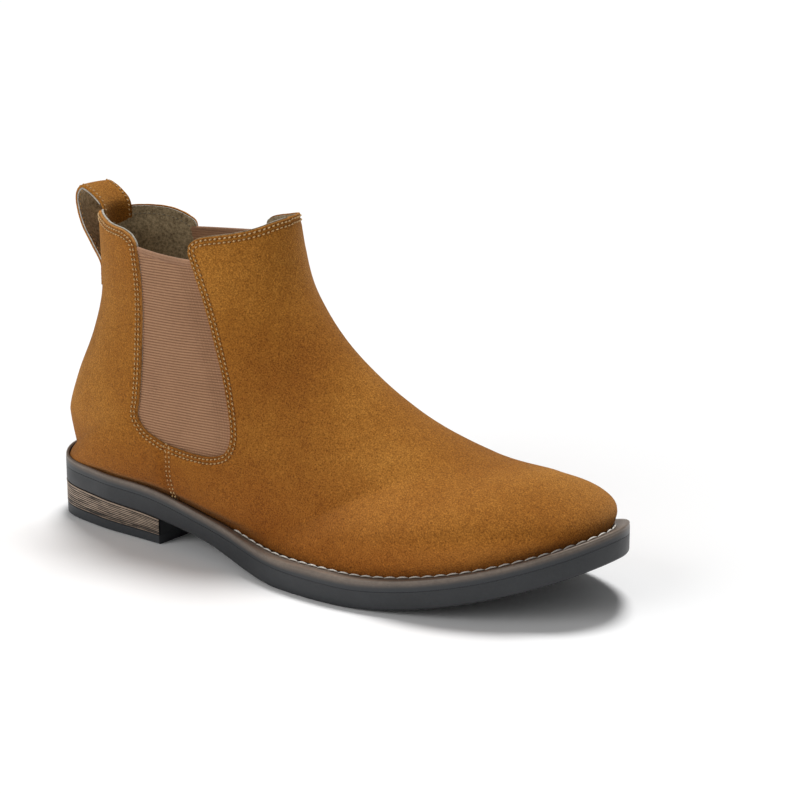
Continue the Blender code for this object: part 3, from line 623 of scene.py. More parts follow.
def stitch_groove(places, d):
    """1 in the middle of a stitched line, 0 beside it."""
    return sum(np.exp(-((d - row) / 0.42) ** 2) for row in (ROW_A, ROW_B))


def foot_tuck(places):
    """How far the upper turns in under itself above the welt, from the waist to the heel."""
    above = places[:, 2] - welt_top(places[:, 0].clip(-150, 150))
    along = (1 - ease(places[:, 0], -25, 45)) * ease(places[:, 0], -138, -105)
    return TUCK_DEPTH * (1 - ease(above, -1.0, 4.2)) * along


def suede_depth(places, d):
    """Cut edges are rounded, the stitches draw the leather in, and the surface is a little uneven."""
    depth = EDGE_RADIUS * (1 - np.sqrt(1 - (1 - np.clip(d / EDGE_RADIUS, 0, 1)) ** 2))
    depth = depth + GROOVE_DEPTH * stitch_groove(places, d)
    # A shallow step down from the body of the panel to its stitched border
    depth = depth + 0.22 * (1 - ease(d, ROW_B + 0.4, ROW_B + 3.0)) * ease(d, 0.2, 1.0)
    uneven = 0.14 * wobble(places, 21.0, 3.1) + 0.05 * wobble(places, 8.0, 9.7)
    return depth - uneven * ease(d, 1, 6) + foot_tuck(places)


def stitches(name, paths, pitch, length, width, lift, look, tilt=0.0):
    """A row of thread stitches along each path. A path is points and outward normals in millimetres."""
    ring, sides = 5, 6
    profile = np.linspace(0, 1, ring)
    all_points, all_faces, start = [], [], 0
    turn = np.linspace(0, 2 * np.pi, sides, endpoint=False)
    for points, normal in paths:
        run = lengths(points)
        for k in range(int(run[-1] / pitch)):
            s = (k + 0.5) * pitch + (profile - 0.5) * length
            if s[-1] > run[-1] or s[0] < 0:
                continue
            p = np.stack([np.interp(s, run, points[:, i]) for i in range(3)], 1)
            n = np.stack([np.interp(s, run, normal[:, i]) for i in range(3)], 1)
            n /= np.linalg.norm(n, axis=1)[:, None]
            along = p[-1] - p[0]
            along /= np.linalg.norm(along)
            side = np.cross(n, along)
            side /= np.linalg.norm(side, axis=1)[:, None]
            arch = np.sin(profile * np.pi)
            p = p + n * ((arch - 0.35) * lift)[:, None] + side * ((profile - 0.5) * tilt * length)[:, None]
            radius = width / 2 * (0.35 + 0.65 * arch ** 0.5)
            rows = [p[i] + radius[i] * (np.cos(turn)[:, None] * side[i] + np.sin(turn)[:, None] * n[i] * 0.8)
                    for i in range(ring)]
            all_points += rows
            for i in range(ring - 1):
                for j in range(sides):
                    a, b = start + i * sides + j, start + i * sides + (j + 1) % sides
                    all_faces.append((a, b, b + sides, a + sides))
            all_faces.append(tuple(range(start, start + sides))[::-1])
            start += ring * sides
            all_faces.append(tuple(range(start - sides, start)))
    obj = mesh_object(name, np.vstack(all_points), all_faces, [look])
    return clean(obj, merge=FINE_MERGE, sharp=0)


def stitch_path(path, offset, depth):
    """Points and normals of a stitch row at a distance from a border path."""
    rc = step_off(spread(path, 1.0), offset)
    places, normal = on_skin(rc), normals_at(rc)
    return places - normal * depth, normal


# ---------- node materials ----------

class Look:
    """A node material, with short ways to add the nodes that the looks below share. Lengths in it are in metres."""

    def __init__(self, name, roughness, metallic=0.0, **sockets):
        self.material = bpy.data.materials.new(name)
        self.material.use_nodes = True
        self.tree = self.material.node_tree
        self.shader = self.tree.nodes["Principled BSDF"]
        self.shader.inputs["Roughness"].default_value = roughness
        self.shader.inputs["Metallic"].default_value = metallic
        for key, value in sockets.items():
            self.shader.inputs[key.replace("_", " ")].default_value = value
        self.place = self.tree.nodes.new("ShaderNodeTexCoord").outputs["Object"]
        self.bumps = None

    def feed(self, socket, value):
        """Gives a socket a value, or links it to the output of another node."""
        if isinstance(value, bpy.types.NodeSocket):
            self.tree.links.new(value, socket)
        else:
            socket.default_value = value

    def node(self, kind, **inputs):
        """A new node, with its inputs by name."""
        node = self.tree.nodes.new("ShaderNode" + kind)
        for key, value in inputs.items():
            self.feed(node.inputs[key.replace("_", " ")], value)
        return node

    def noise(self, scale, detail=3.0, rough=0.5, vector=None, distortion=0.0):
        return self.node("TexNoise", Scale=scale, Detail=detail, Roughness=rough, Distortion=distortion,
                         Vector=vector or self.place).outputs["Fac"]

    def math(self, kind, a, b):
        node = self.node("Math")
        node.operation = kind
        self.feed(node.inputs[0], a)
        self.feed(node.inputs[1], b)
        return node.outputs[0]

    def total(self, *terms):
        """The sum of some values, each times its share."""
        return functools.reduce(lambda a, b: self.math("ADD", a, b), [self.math("MULTIPLY", *term) for term in terms])

    def height(self, low, high):
        """0 at the low height and 1 at the high one, in metres."""
        up = self.node("SeparateXYZ", Vector=self.place).outputs["Z"]
        return self.node("MapRange", From_Min=low, From_Max=high, Value=up).outputs[0]

    def stored(self, name):
        node = self.node("Attribute")
        node.attribute_name = name
        return node.outputs["Fac"]

    def ramp(self, value, *stops):
        node = self.node("ValToRGB", Fac=value)
        ramp = node.color_ramp
        while len(ramp.elements) < len(stops):
            ramp.elements.new(0.5)
        for element, (at, colour) in zip(ramp.elements, stops):
            element.position, element.color = at, (*colour, 1)
        return node.outputs["Color"]

    def mix(self, kind, share, a, b):
        """Two colours mixed; the second may be plain numbers."""
        node = self.node("Mix", Factor=share)
        node.data_type, node.blend_type = "RGBA", kind
        # The node's colour sockets come after those for numbers and vectors
        self.feed(node.inputs[6], a)
        self.feed(node.inputs[7], (*b, 1) if isinstance(b, tuple) else b)
        return node.outputs[2]

    def colour(self, value):
        self.feed(self.shader.inputs["Base Color"], value)

    def bump(self, value, distance, strength=1.0):
        below = {"Normal": self.bumps} if self.bumps else {}
        self.bumps = self.node("Bump", Distance=distance, Strength=strength, Height=value, **below).outputs["Normal"]
        self.feed(self.shader.inputs["Normal"], self.bumps)


def suede_look():
    look = Look("suede", 0.95, Specular_IOR_Level=0.1, Sheen_Weight=0.2, Sheen_Roughness=0.5,
                Sheen_Tint=(1.0, 0.72, 0.4, 1.0))
    cloud = look.noise(15, 2, 0.5, distortion=0.3)
    mottle = look.noise(210, 3, 0.6)
    nap = look.noise(1500, 3, 0.75)
    grain = look.noise(3400, 1, 0.5)
    tone = look.total((cloud, 0.55), (mottle, 0.2), (nap, 0.25))
    base = look.ramp(tone, (0.36, (0.27, 0.092, 0.012)), (0.50, (0.34, 0.13, 0.018)), (0.64, (0.43, 0.182, 0.03)))
    fleck = look.ramp(nap, (0.30, (0.42, 0.36, 0.30)), (0.50, (1, 1, 1)), (0.70, (1.55, 1.55, 1.6)))
    base = look.mix("MULTIPLY", 0.95, base, fleck)
    # Painted shade: the suede is painted darker and redder from 55 mm down to 18 mm above the floor
    base = look.mix("MULTIPLY", look.height(0.055, 0.018), base, (0.80, 0.64, 0.55))
    # Painted shade in the stitch grooves: darker where the stored hollow value, 1 on a stitched line, is high
    look.colour(look.mix("MULTIPLY", look.stored("hollow"), base, (0.55, 0.45, 0.4)))
    look.bump(mottle, 0.0002, 0.5)
    look.bump(nap, 0.0003, 1.0)
    look.bump(grain, 0.0001, 0.7)
    return look.material


def felt_look(name="lining", dark=(0.16, 0.115, 0.06), light=(0.6, 0.46, 0.27)):
    look = Look(name, 0.95, Specular_IOR_Level=0.15, Sheen_Weight=0.25, Sheen_Roughness=0.5)
    tone = look.total((look.noise(90, 4, 0.7), 0.3), (look.noise(760, 3, 0.75), 0.7))
    look.colour(look.ramp(tone, (0.36, dark), (0.64, light)))
    look.bump(look.noise(1300, 3, 0.7), 0.0004, 0.9)
    look.bump(look.node("TexVoronoi", Scale=700, Vector=look.place).outputs["Distance"], 0.0002, 0.5)
    return look.material


def plain_look(name, colour, roughness, vary=0.25, grain=900, bump=0.0001, metallic=0.0, specular=0.5, **more):
    """A plain material with fine variation of tone, gloss and surface."""
    look = Look(name, roughness, metallic, Specular_IOR_Level=specular, **more)
    tone = look.total((look.noise(55, 4, 0.6), 0.55), (look.noise(grain, 3, 0.6), 0.45))
    low, high = (tuple(min(1, c * share) for c in colour) for share in (1 - vary, 1 + vary))
    look.colour(look.ramp(tone, (0.35, low), (0.65, high)))
    gloss = look.node("MapRange", To_Min=roughness * 0.8, To_Max=min(1, roughness * 1.2),
                      Value=look.noise(180, 3, 0.6))
    look.feed(look.shader.inputs["Roughness"], gloss.outputs[0])
    look.bump(look.noise(grain, 3, 0.6), bump, 0.7)
    return look.material


def elastic_look():
    """Ribbed elastic: painted light on the ribs and painted shade between them, from the value stored with each
    point.
    """
    look = Look("elastic", 0.8, Specular_IOR_Level=0.2, Sheen_Weight=0.15)
    tone = look.total((look.noise(60, 3, 0.6), 0.2), (look.noise(1300, 2, 0.7), 0.3), (look.stored("rib"), 0.5))
    look.colour(look.ramp(tone, (0.2, (0.16, 0.078, 0.041)), (0.5, (0.345, 0.178, 0.093)),
                          (0.8, (0.5, 0.28, 0.158))))
    look.bump(look.noise(2600, 2, 0.6), 0.00015, 0.8)
    return look.material


def thread_look(name, low, high, twist=1700):
    look = Look(name, 0.55, Specular_IOR_Level=0.35, Sheen_Weight=0.2)
    wave = look.node("TexWave", Scale=twist, Distortion=1.0, Detail=1.0, Vector=look.place)
    wave.bands_direction = "DIAGONAL"
    strands = wave.outputs["Fac"]
    look.colour(look.ramp(look.total((strands, 0.5), (look.noise(700, 3, 0.6), 0.5)), (0.25, low), (0.75, high)))
    look.bump(strands, 0.00008, 0.8)
    return look.material


def stack_look():
    """Layers of stacked leather: fine lines of brown and near black along the heel, no two alike."""
    look = Look("stacked_leather", 0.55, Specular_IOR_Level=0.3)
    flattened = look.node("Mapping", Scale=(260, 260, 900), Vector=look.place).outputs["Vector"]
    along = look.noise(1.0, 3, 0.7, vector=flattened)
    tone = look.total((look.stored("layer"), 0.62), (along, 0.38))
    look.colour(look.ramp(tone, (0.3, (0.007, 0.006, 0.005)), (0.46, (0.03, 0.022, 0.017)),
                          (0.56, (0.15, 0.105, 0.075)), (0.7, (0.5, 0.38, 0.28))))
    look.bump(along, 0.0002, 0.6)
    return look.material


def welt_look():
    """Brown-grey at the top, merging into the charcoal of the sole below, and darkening to charcoal as painted shade
    on its inner slope towards the groove.
    """
    look = Look("welt", 0.42, Specular_IOR_Level=0.4)
    tone = look.total((look.noise(55, 4, 0.6), 0.5), (look.noise(700, 3, 0.6), 0.5))
    top = look.ramp(tone, (0.35, (0.135, 0.105, 0.082)), (0.65, (0.205, 0.162, 0.128)))
    # The stored value darkens the band to charcoal: at its foot on the outer side, and as painted shade on its inner
    # slope
    look.colour(look.mix("MIX", look.stored("fade"), top, (0.027, 0.030, 0.034)))
    look.bump(look.noise(700, 3, 0.6), 0.00005, 0.7)
    return look.material


LOOKS = {
    "suede": suede_look(),
    "suede_edge": plain_look("suede_edge", (0.42, 0.19, 0.05), 0.95, 0.4, 1500, 0.0003, specular=0.1),
    "lining": felt_look(),
    "lining_rim": felt_look("lining_rim", (0.26, 0.235, 0.20), (0.62, 0.58, 0.50)),
    "elastic": elastic_look(),
    "binding": plain_look("binding", (0.34, 0.18, 0.1), 0.75, 0.25, 1500, 0.00012, specular=0.2, Sheen_Weight=0.2),
    "bead": plain_look("heel_bead", (0.36, 0.27, 0.2), 0.6, 0.2, 900, 0.00005),
    "steel": plain_look("steel", (0.6, 0.6, 0.62), 0.35, 0.05, 900, 0.00001, metallic=1.0),
    "board": plain_look("stiffener", (0.5, 0.42, 0.3), 0.7, 0.1),
    "canvas": plain_look("canvas", (0.6, 0.55, 0.45), 0.95, 0.1),
    "lining_thread": thread_look("lining_thread", (0.2, 0.16, 0.1), (0.4, 0.33, 0.22)),
    "stitch": thread_look("stitch_thread", (0.45, 0.25, 0.08), (0.85, 0.58, 0.27)),
    "welt_thread": thread_look("welt_thread", (0.62, 0.58, 0.51), (0.9, 0.87, 0.81), 900),
    "welt": welt_look(),
    # Near-black paint for the painted shadow in the groove between the welt and the upper
    "groove": plain_look("welt_groove_shadow", (0.006, 0.0055, 0.005), 0.6, 0.2, 700, 0.00005, specular=0.3),
    "sole": plain_look("sole_rubber", (0.025, 0.027, 0.030), 0.5, 0.16, 800, 0.00006, specular=0.4),
    "top_lift": plain_look("top_lift_rubber", (0.028, 0.031, 0.035), 0.55, 0.16, 800, 0.00006, specular=0.4),
    "stack": stack_look(),
    "insole": plain_look("insole_board", (0.3, 0.22, 0.14), 0.85, 0.2, 1200, 0.0001),
    "sock": felt_look("sock", (0.09, 0.07, 0.045), (0.26, 0.215, 0.145)),
}


# ---------- the upper ----------

SUEDE_LOOKS = [LOOKS["suede"], LOOKS["suede_edge"]]
LINING_LOOKS = [LOOKS["lining"], LOOKS["lining_rim"]]
SUEDE_THICKNESS, SUEDE_PITCH, LINING_THICKNESS = 1.4, 2.3, 0.85
# The middle of a stitch lies this deep in the leather
THREAD_DEPTH = 0.12
# The side seam: the quarter runs this far under the vamp
SEAM_LAP = 4


def vamp_border(rise, start, count):
    """Outer and inner free edge of a vamp, each from the sole to the middle of the front, and its lasted edge. rise
    lifts the top edge on each side; start is the row that the lasted edge reaches at the toe."""
    edges = [np.vstack([seam_line(side)[::-1], find(gore_edges(side)[0], side)[1:], vamp_top(side, rise[side])[1:]])
             for side in (-1, 1)]
    outer, inner = (edge[0, 0] for edge in edges)
    foot = [np.c_[np.linspace(inner, start, count), np.full(count, LAST_COLUMN)],
            np.c_[np.full(60, start), np.linspace(LAST_COLUMN, 0, 61)[1:]],
            np.c_[np.linspace(start, outer, count)[1:], np.zeros(count - 1)]]
    return edges, np.vstack(foot)


def vamp_panel(name, edges, foot, *rest, **more):
    return panel(name, [(edges[0], -1), (edges[1][::-1], -1), (foot, 0)], *rest, **more)


def build_vamp():
    edges, foot = vamp_border({-1: 0.0, 1: 0.0}, 0.0, 300)

    def depth(places, d):
        """The vamp's edge lies on top of the quarter at the side seam."""
        seam = (1 - ease(places[:, 0], SIDE_SEAM_X, SIDE_SEAM_X + 8)) * (1 - ease(places[:, 2], 46, 50))
        return suede_depth(places, d) - 0.6 * seam

    # stitch_groove is stored as hollow, for the painted shade along the stitched lines
    obj = vamp_panel("vamp_suede", edges, foot, depth, SUEDE_THICKNESS, SUEDE_PITCH, SUEDE_LOOKS, stitch_groove)
    done(obj, "suede", "vamp")
    sew_edge("vamp_stitches", np.vstack([edges[0], edges[1][-2::-1]]), -1)


def sew(name, paths):
    done(stitches(name, paths, UPPER_PITCH, 1.35, 0.75, 0.5, LOOKS["stitch"], tilt=0.12), "thread")


def sew_edge(name, edge, sign):
    """The two rows of stitches along a cut edge."""
    sew(name, [stitch_path(edge, sign * d, THREAD_DEPTH) for d in (ROW_A, ROW_B)])


def quarter_pieces(side, rise=0.0):
    """Borders of a quarter: top edge, gore edge, the edge under the vamp, the back seam and the lasted edge."""
    last = 0 if side < 0 else LAST_COLUMN
    top = quarter_top(side, rise)
    back = find(gore_edges(side)[1], side)
    foot = seam_line(side, SIDE_SEAM_X + SEAM_LAP)
    hidden = np.vstack([back[:1], find([(SIDE_SEAM_X + SEAM_LAP, 46.5)], side), foot[4:]])
    rows = np.linspace(top[-1, 0], foot[-1, 0], 400)
    seam = np.c_[rows, np.full(400, last)]
    heel = int((on_skin(seam)[:, 2] > 31).sum())
    return top, back, hidden, seam[:heel + 1], seam[heel:]


def build_quarters():
    for side, name in ((-1, "lateral"), (1, "medial")):
        top, back, hidden, seam, foot = quarter_pieces(side)

        def depth(places, d):
            """The quarter dips under the vamp, and is creased along the back seam."""
            under = ease(places[:, 0], -69, -65) * (1 - ease(places[:, 2], 45, 49.6))
            crease = 0.5 * np.exp(-(np.abs(places[:, 1]) / 0.7) ** 2) * (places[:, 0] < -100)
            return suede_depth(places, d) + 1.35 * under + crease

        pieces = [(top, -side), (seam, -2 * side), (foot, 0), (hidden[::-1], 0), (back, -side)]
        # stitch_groove is stored as hollow, for the painted shade along the stitched lines
        obj = panel("quarter_suede_" + name, pieces, depth, SUEDE_THICKNESS, SUEDE_PITCH, SUEDE_LOOKS, stitch_groove)
        done(obj, "suede", "quarter_" + name)
        edge = spread(np.vstack([back[:-1], top]), 1.0)[:-3]
        sew_edge("quarter_stitches_" + name, edge, -side)


# How far the lining's edge stands above the suede's, on the outer and the inner side, and its stitches from its edge
LINING_RISE = {-1: 0.45, 1: -0.6}
LINING_ROW = 3.6


def build_linings():
    def depth(places, d):
        return 1.5 + 1.6 * ease(d, 2.0, 12.0) - 0.25 * wobble(places, 16.0, 5.5) * ease(d, 1, 8) + foot_tuck(places)

    for side, name in ((-1, "lateral"), (1, "medial")):
        top, back, hidden, seam, foot = quarter_pieces(side, LINING_RISE[side])
        pieces = [(top, -side), (seam, 0), (foot, 0), (hidden[::-1], 0), (back, -side)]
        obj = panel("quarter_felt_" + name, pieces, depth, LINING_THICKNESS, 3.2, LINING_LOOKS, even=True)
        done(obj, "lining", "quarter_lining")
        rc = step_off(spread(top, 1.0), -side * LINING_ROW)
        places, normal = on_skin(rc), normals_at(rc)
        deep = depth(places, np.full(len(places), LINING_ROW)) + LINING_THICKNESS
        line = [(places - normal * deep[:, None], -normal)]
        done(stitches("lining_stitches_" + name, line, UPPER_PITCH, 1.7, 0.5, 0.3, LOOKS["lining_thread"]), "thread")
    edges, foot = vamp_border(LINING_RISE, 12.0, 200)
    obj = vamp_panel("vamp_felt", edges, foot, depth, LINING_THICKNESS, 4.0, LINING_LOOKS, even=True)
    done(obj, "lining", "vamp_lining")


# ---------- elastic panels ----------

# The elastic is a fine grid over its area in the side view, and is found on the skin on a coarser one
GORE_X, GORE_Z, COARSE_X, COARSE_Z = np.arange(-101.2, -23.5, 0.6), np.arange(43.5, 138.7, 0.3), 4, 6
# The hidden rim of the elastic behind the leather
GORE_LAP = 3.4
# Spacing of the ribs that run across, and of the upright cords near the front edge
RIB_PITCH, CORD_PITCH = 1.2, 1.45
# Section of the folded tape: depth from the skin, and height from its top
TAPE_SECTION = [
    (1.6, -2.5), (1.25, -2.4), (1.15, -2.1), (1.3, -1.7), (1.55, -1.5), (1.3, -1.3), (1.05, -0.9), (1.1, -0.2),
    (1.4, 0.2), (1.8, 0.4), (2.3, 0.4), (2.7, 0.1), (2.85, -0.7), (2.8, -2.2), (2.6, -2.5),
]


def build_gores():
    xs, zs = GORE_X, GORE_Z
    flat = np.stack(np.meshgrid(xs, zs), -1).reshape(-1, 2)
    x, z = flat.T
    for side, name in ((-1, "lateral"), (1, "medial")):
        front, back = gore_edges(side)
        border = np.vstack([back[::-1], front[1:]])
        area = np.vstack([border, border[-1:] + [0, 6], border[:1] + [0, 6]])
        hit = inside(area, flat) | (nearest(flat, border) < GORE_LAP)
        hit &= z < gore_top(side, x) - 0.9
        coarse = np.stack(np.meshgrid(xs[::COARSE_X], zs[::COARSE_Z]), -1)
        coarse = find(coarse.reshape(-1, 2), side).reshape(coarse.shape)
        rc = read_grid(coarse, (z - zs[0]) / 1.8, (x - xs[0]) / 2.4)
        rc[:, 0] = rc[:, 0].clip(0, FINE_ROWS - 1)
        places, normal = on_skin(rc), normals_at(rc)
        rib = 0.5 + 0.5 * np.cos((z + 0.25 * wobble(places, 19.0, 2.2)) / RIB_PITCH * 2 * np.pi)
        from_front = np.interp(z, front[:, 1], front[:, 0]) - x
        cords = 0.5 + 0.5 * np.cos(from_front / CORD_PITCH * 2 * np.pi)
        at_front = 1 - ease(from_front, 6.0, 12.5)
        strain = 0.5 * ease(z, 60, 95) * (1 - ease(z, 100, 134))
        depth = 1.75 + 0.3 * strain - 0.26 * rib - 0.18 * cords * at_front - 0.12 * wobble(places, 14.0, 7.7)
        points = np.vstack([places - normal * depth[:, None], places - normal * (2.75 + 0.2 * rib)[:, None]])
        faces = [f for f in grid_faces(len(zs), len(xs)) if hit[list(f)].all()]
        total = len(flat)
        faces = sum(both_faces(faces, total), [])
        kept = np.unique(np.concatenate([np.array(f) for f in faces]))
        order = np.full(2 * total, -1)
        order[kept] = np.arange(len(kept))
        obj = mesh_object("gore_elastic_" + name, points[kept], [order[list(f)] for f in faces], [LOOKS["elastic"]])
        # Painted shade between the ribs, and between the upright cords near the front edge, with the rib tops painted
        # lighter
        shade = rib * (1 - 0.45 * at_front * (1 - cords))
        store(obj, rib=np.r_[shade, np.full(total, 0.6)][kept])
        done(clean(obj, merge=FINE_MERGE), "elastic", "gore_" + name)

        # Folded tape over the top edge
        low_x, high_x = back[-1, 0] - 2.5, front[-1, 0] + 2.5
        along = np.linspace(low_x, high_x, 70)
        top = gore_top(side, along) - 0.4 - 0.4 * np.sin((along - low_x) / (high_x - low_x) * np.pi)
        rows = []
        for deep, rise in TAPE_SECTION:
            rc = find(np.c_[along, top + rise], side)
            rows.append(on_skin(rc) - normals_at(rc) * deep)
        obj = mesh_object("gore_tape_" + name, np.vstack(rows), capped(len(rows), len(along)), [LOOKS["binding"]])
        done(clean(obj, merge=FINE_MERGE, sharp=0), "binding", "gore_binding_" + name)


# ---------- pull tab ----------

BACK_POINTS = (SKIN[..., 0] < -95) & (SKIN[..., 2] > 70)


def back_x(y, z):
    """x of the upper's outer face near the back seam."""
    points, normal = SKIN[BACK_POINTS], NORMALS[BACK_POINTS]
    k = ((points[:, 1] - y) ** 2 + (points[:, 2] - z) ** 2).argmin()
    p, n = points[k], normal[k]
    return p[0] - (n[1] * (y - p[1]) + n[2] * (z - p[2])) / n[0]


def build_tab():
    path = [(back_x(0, z) - 1.5, z) for z in (111, 116, 121)]
    path += TAB_LOOP + [(back_x(0, z) + 2.65, z) for z in (147, 143.5, 136, 129)]
    path = resample(path, 120)
    along = np.gradient(path, axis=0)
    along /= np.linalg.norm(along, axis=1)[:, None]
    inner = np.c_[along[:, 1], -along[:, 0]]
    hug = np.clip(1 - 0.65 * (path[:, 1] - 146) / 14, 0.35, 1.0)
    centre = np.array([back_x(0, min(z, 147)) for z in path[:, 1]])
    # How far the boot's back curves away from its middle, at each height, across the strap
    reach = np.linspace(-10, 10, 21)
    bend = np.array([[back_x(y, min(z, 147)) for y in reach] for z in path[:, 1]]) - centre[:, None]

    def place(k, y, deep):
        """Point on the strap: k along it, y across it, and deep from its outer face inwards."""
        line = path[k] + inner[k] * deep
        curl = np.interp(y, reach, bend[k]) * hug[k]
        return (line[0] + curl, y, line[1])

    def strap(name, first, last, face, back, half, looks, slot, node):
        """A strap from path point first to last, between the depths face and back, half as wide as half says."""
        round_ = min(0.5, (back - face) / 2)
        ys = np.r_[-half, -half + 0.12, np.linspace(-half + round_, half - round_, 15), half - 0.12, half]
        near = face + round_ * (1 - np.sqrt(np.clip(1 - ((np.abs(ys) - half + round_).clip(0) / round_) ** 2, 0, 1)))
        near = near + 0.2 * np.exp(-((half - np.abs(ys) - 1.5) / 0.45) ** 2)
        loop = list(zip(ys, near)) + list(zip(ys[::-1], np.full(len(ys), back)))
        rows = [[place(k, y, deep) for y, deep in loop] for k in range(first, last)]
        n = len(loop)
        faces = grid_faces(len(rows), n, False, True)
        faces += [tuple(range(n)), tuple(range((len(rows) - 1) * n, len(rows) * n))[::-1]]
        obj = clean(mesh_object(name, np.array(rows).reshape(-1, 3), faces, looks), merge=FINE_MERGE)
        for polygon in obj.data.polygons:
            polygon.material_index = int(len(looks) > 1 and abs(polygon.normal.y) > 0.7)
        return done(obj, slot, node)

    strap("pull_tab_suede", 0, 120, -0.55, 0.6, TAB_WIDTH / 2, [LOOKS["suede"]], "suede", "pull_tab")
    end = np.nonzero(path[:, 1] > 149)[0][-1]
    strap("pull_tab_felt", 0, end, 0.65, 1.45, TAB_WIDTH / 2 + 0.15, LINING_LOOKS, "lining", "pull_tab_lining")
    paths = []
    for y in (-TAB_WIDTH / 2 + 1.5, TAB_WIDTH / 2 - 1.5):
        for deep, sign, part in ((-0.45, -1, range(2, 104)), (1.45, 1, range(8, end - 3))):
            normal = [(sign * inner[k][0], 0, sign * inner[k][1]) for k in part]
            paths.append((np.array([place(k, y, deep) for k in part]), np.array(normal)))
    ends = np.array([place(4, y, -0.45) for y in np.linspace(-7.5, 7.5, 20)])
    paths.append((ends, np.tile([-1.0, 0, 0], (20, 1))))
    sew("pull_tab_stitches", paths)


# ---------- bottom ----------

def ring_sweep(name, ring, profile, looks, material_of=lambda row, column: 0, **values):
    """A closed section carried round the outline. profile rows are (inset, height function, lift)."""
    rows, n = [], len(ring)
    for depth, height, lift in profile:
        line = inset(ring, depth)
        rows.append(np.c_[line, height(line[:, 0]) + lift])
    obj = mesh_object(name, np.vstack(rows), grid_faces(len(rows), n, True, True), looks)
    store(obj, **{key: np.repeat(numbers, n) for key, numbers in values.items()})
    for i, polygon in enumerate(obj.data.polygons):
        polygon.material_index = material_of(i // n, i % n)
    return clean(obj, merge=FINE_MERGE, sharp=50)


def plate(name, outline_inset, low, high, count, look, steps=10):
    """A plate over the outline, with a grid across it, so that its faces can be shaped. low and high give its heights
    from x and the distance from its edge."""
    one, other = halves(inset(RING, outline_inset))
    share = (1 - np.cos(np.linspace(0, np.pi, count))) / 2 * 0.7 + 0.3 * np.linspace(0, 1, count)
    sides = []
    for half in (one, other):
        run = lengths(half) / lengths(half)[-1]
        sides.append(np.stack([np.interp(share, run, half[:, i]) for i in (0, 1)], 1))
    across = (1 - np.cos(np.linspace(0, np.pi, steps))) / 2
    grid = sides[0][:, None] * (1 - across[None, :, None]) + sides[1][:, None] * across[None, :, None]
    edge = np.minimum(across, 1 - across)[None] * 2 * np.ones((count, 1))
    width = np.linalg.norm(sides[0] - sides[1], axis=1)[:, None]
    from_edge = np.minimum(edge * width / 2, 99)
    faces, total = grid_faces(count, steps), count * steps
    points = np.vstack([np.c_[grid.reshape(-1, 2), f(grid[..., 0], from_edge).ravel()] for f in (low, high)])
    return clean(mesh_object(name, points, sum(both_faces(faces, total), []), [look]), sharp=50)


def slice_x(obj, x, keep_low=True):
    """Cuts an object off at a plane across the boot and closes it."""
    work = bmesh.new()
    work.from_mesh(obj.data)
    place = (x - CENTRE[0]) * MM
    bmesh.ops.bisect_plane(work, geom=work.verts[:] + work.edges[:] + work.faces[:], plane_co=(place, 0, 0),
                           plane_no=(1, 0, 0), clear_outer=keep_low, clear_inner=not keep_low, dist=1e-7)
    bmesh.ops.holes_fill(work, edges=[e for e in work.edges if e.is_boundary], sides=0)
    bmesh.ops.recalc_face_normals(work, faces=work.faces)
    work.to_mesh(obj.data)
    work.free()
    obj.data.set_sharp_from_angle(angle=math.radians(40))
    return obj


# The welt's stitches run round the front from these places (x) on the outer and the inner side
STITCH_STARTS = -25, 3


def build_welt():
    ring = resample(OUTLINE, 700, closed=True)
    ext = smooth(ring[:, 0], SOLE_EXTENSION)
    rear = 1 - ease(ring[:, 0], -60, 10)
    # Inset, height and lift of each line round the band, and how far its colour goes over to the sole's charcoal,
    # which on the inner slope towards the groove is painted shade
    profile = [
        (0.3, sole_top, -0.05, 1), (0.0, sole_top, 0.05, 1), (0.0, sole_top, 0.9, 1), (0.0, welt_top, -3.0, 0.95),
        (0.02, welt_top, -2.1, 0.6), (0.06, welt_top, -1.6, 0.25), (0.2, welt_top, -1.3, 0.2),
        (0.14, welt_top, -1.0, 0.1), (0.12, welt_top, -0.45, 0), (0.3, welt_top, 0.0, 0), (0.62, welt_top, 0.26, 0),
        (ext * 0.2 + 0.7, welt_top, 0.3, 0), (ext * 0.3 + 0.8, welt_top, 0.05, 0.1),
        (ext * 0.5 + 0.8, welt_top, -0.1, 0.2), (ext * 0.8 + 0.7, welt_top, -0.2 - 0.7 * rear, 0.5),
        (ext + 1.0, welt_top, -0.5 - 1.7 * rear, 1), (ext + 1.8, welt_top, -2.6, 1), (ext + 3.4, welt_top, -2.8, 1),
        (ext + 3.4, sole_top, 0.1, 1),
    ]

    def material_of(row, column):
        """Painted shadow: near-black faces in the groove at the foot of the upper, one line wider at the rear."""
        return int(13 + (rear[column] < 0.5) <= row < 17)

    obj = ring_sweep("welt_band", ring, [row[:3] for row in profile], [LOOKS["welt"], LOOKS["groove"]], material_of,
                     fade=[row[3] for row in profile])
    done(obj, "welt", "welt")

    line = inset(RING, smooth(RING[:, 0], SOLE_EXTENSION) * 0.66 + 0.3)
    line = np.roll(line, -line[:, 0].argmin(), 0)
    line = line[line[:, 0] > np.where(line[:, 1] < 0, *STITCH_STARTS)]
    line = polyline(line, 1400)
    points = np.c_[line, welt_top(line[:, 0]) + 0.25]
    normal = np.tile([0.0, 0, 1.0], (len(points), 1))
    obj = stitches("welt_stitches", [(points, normal)], STITCH_PITCH, 5.2, 0.9, 0.4, LOOKS["welt_thread"], tilt=0.06)
    done(obj, "thread", "welt_stitch")


TREAD_DEPTH, HEEL_TREAD_DEPTH = 0.8, 0.9


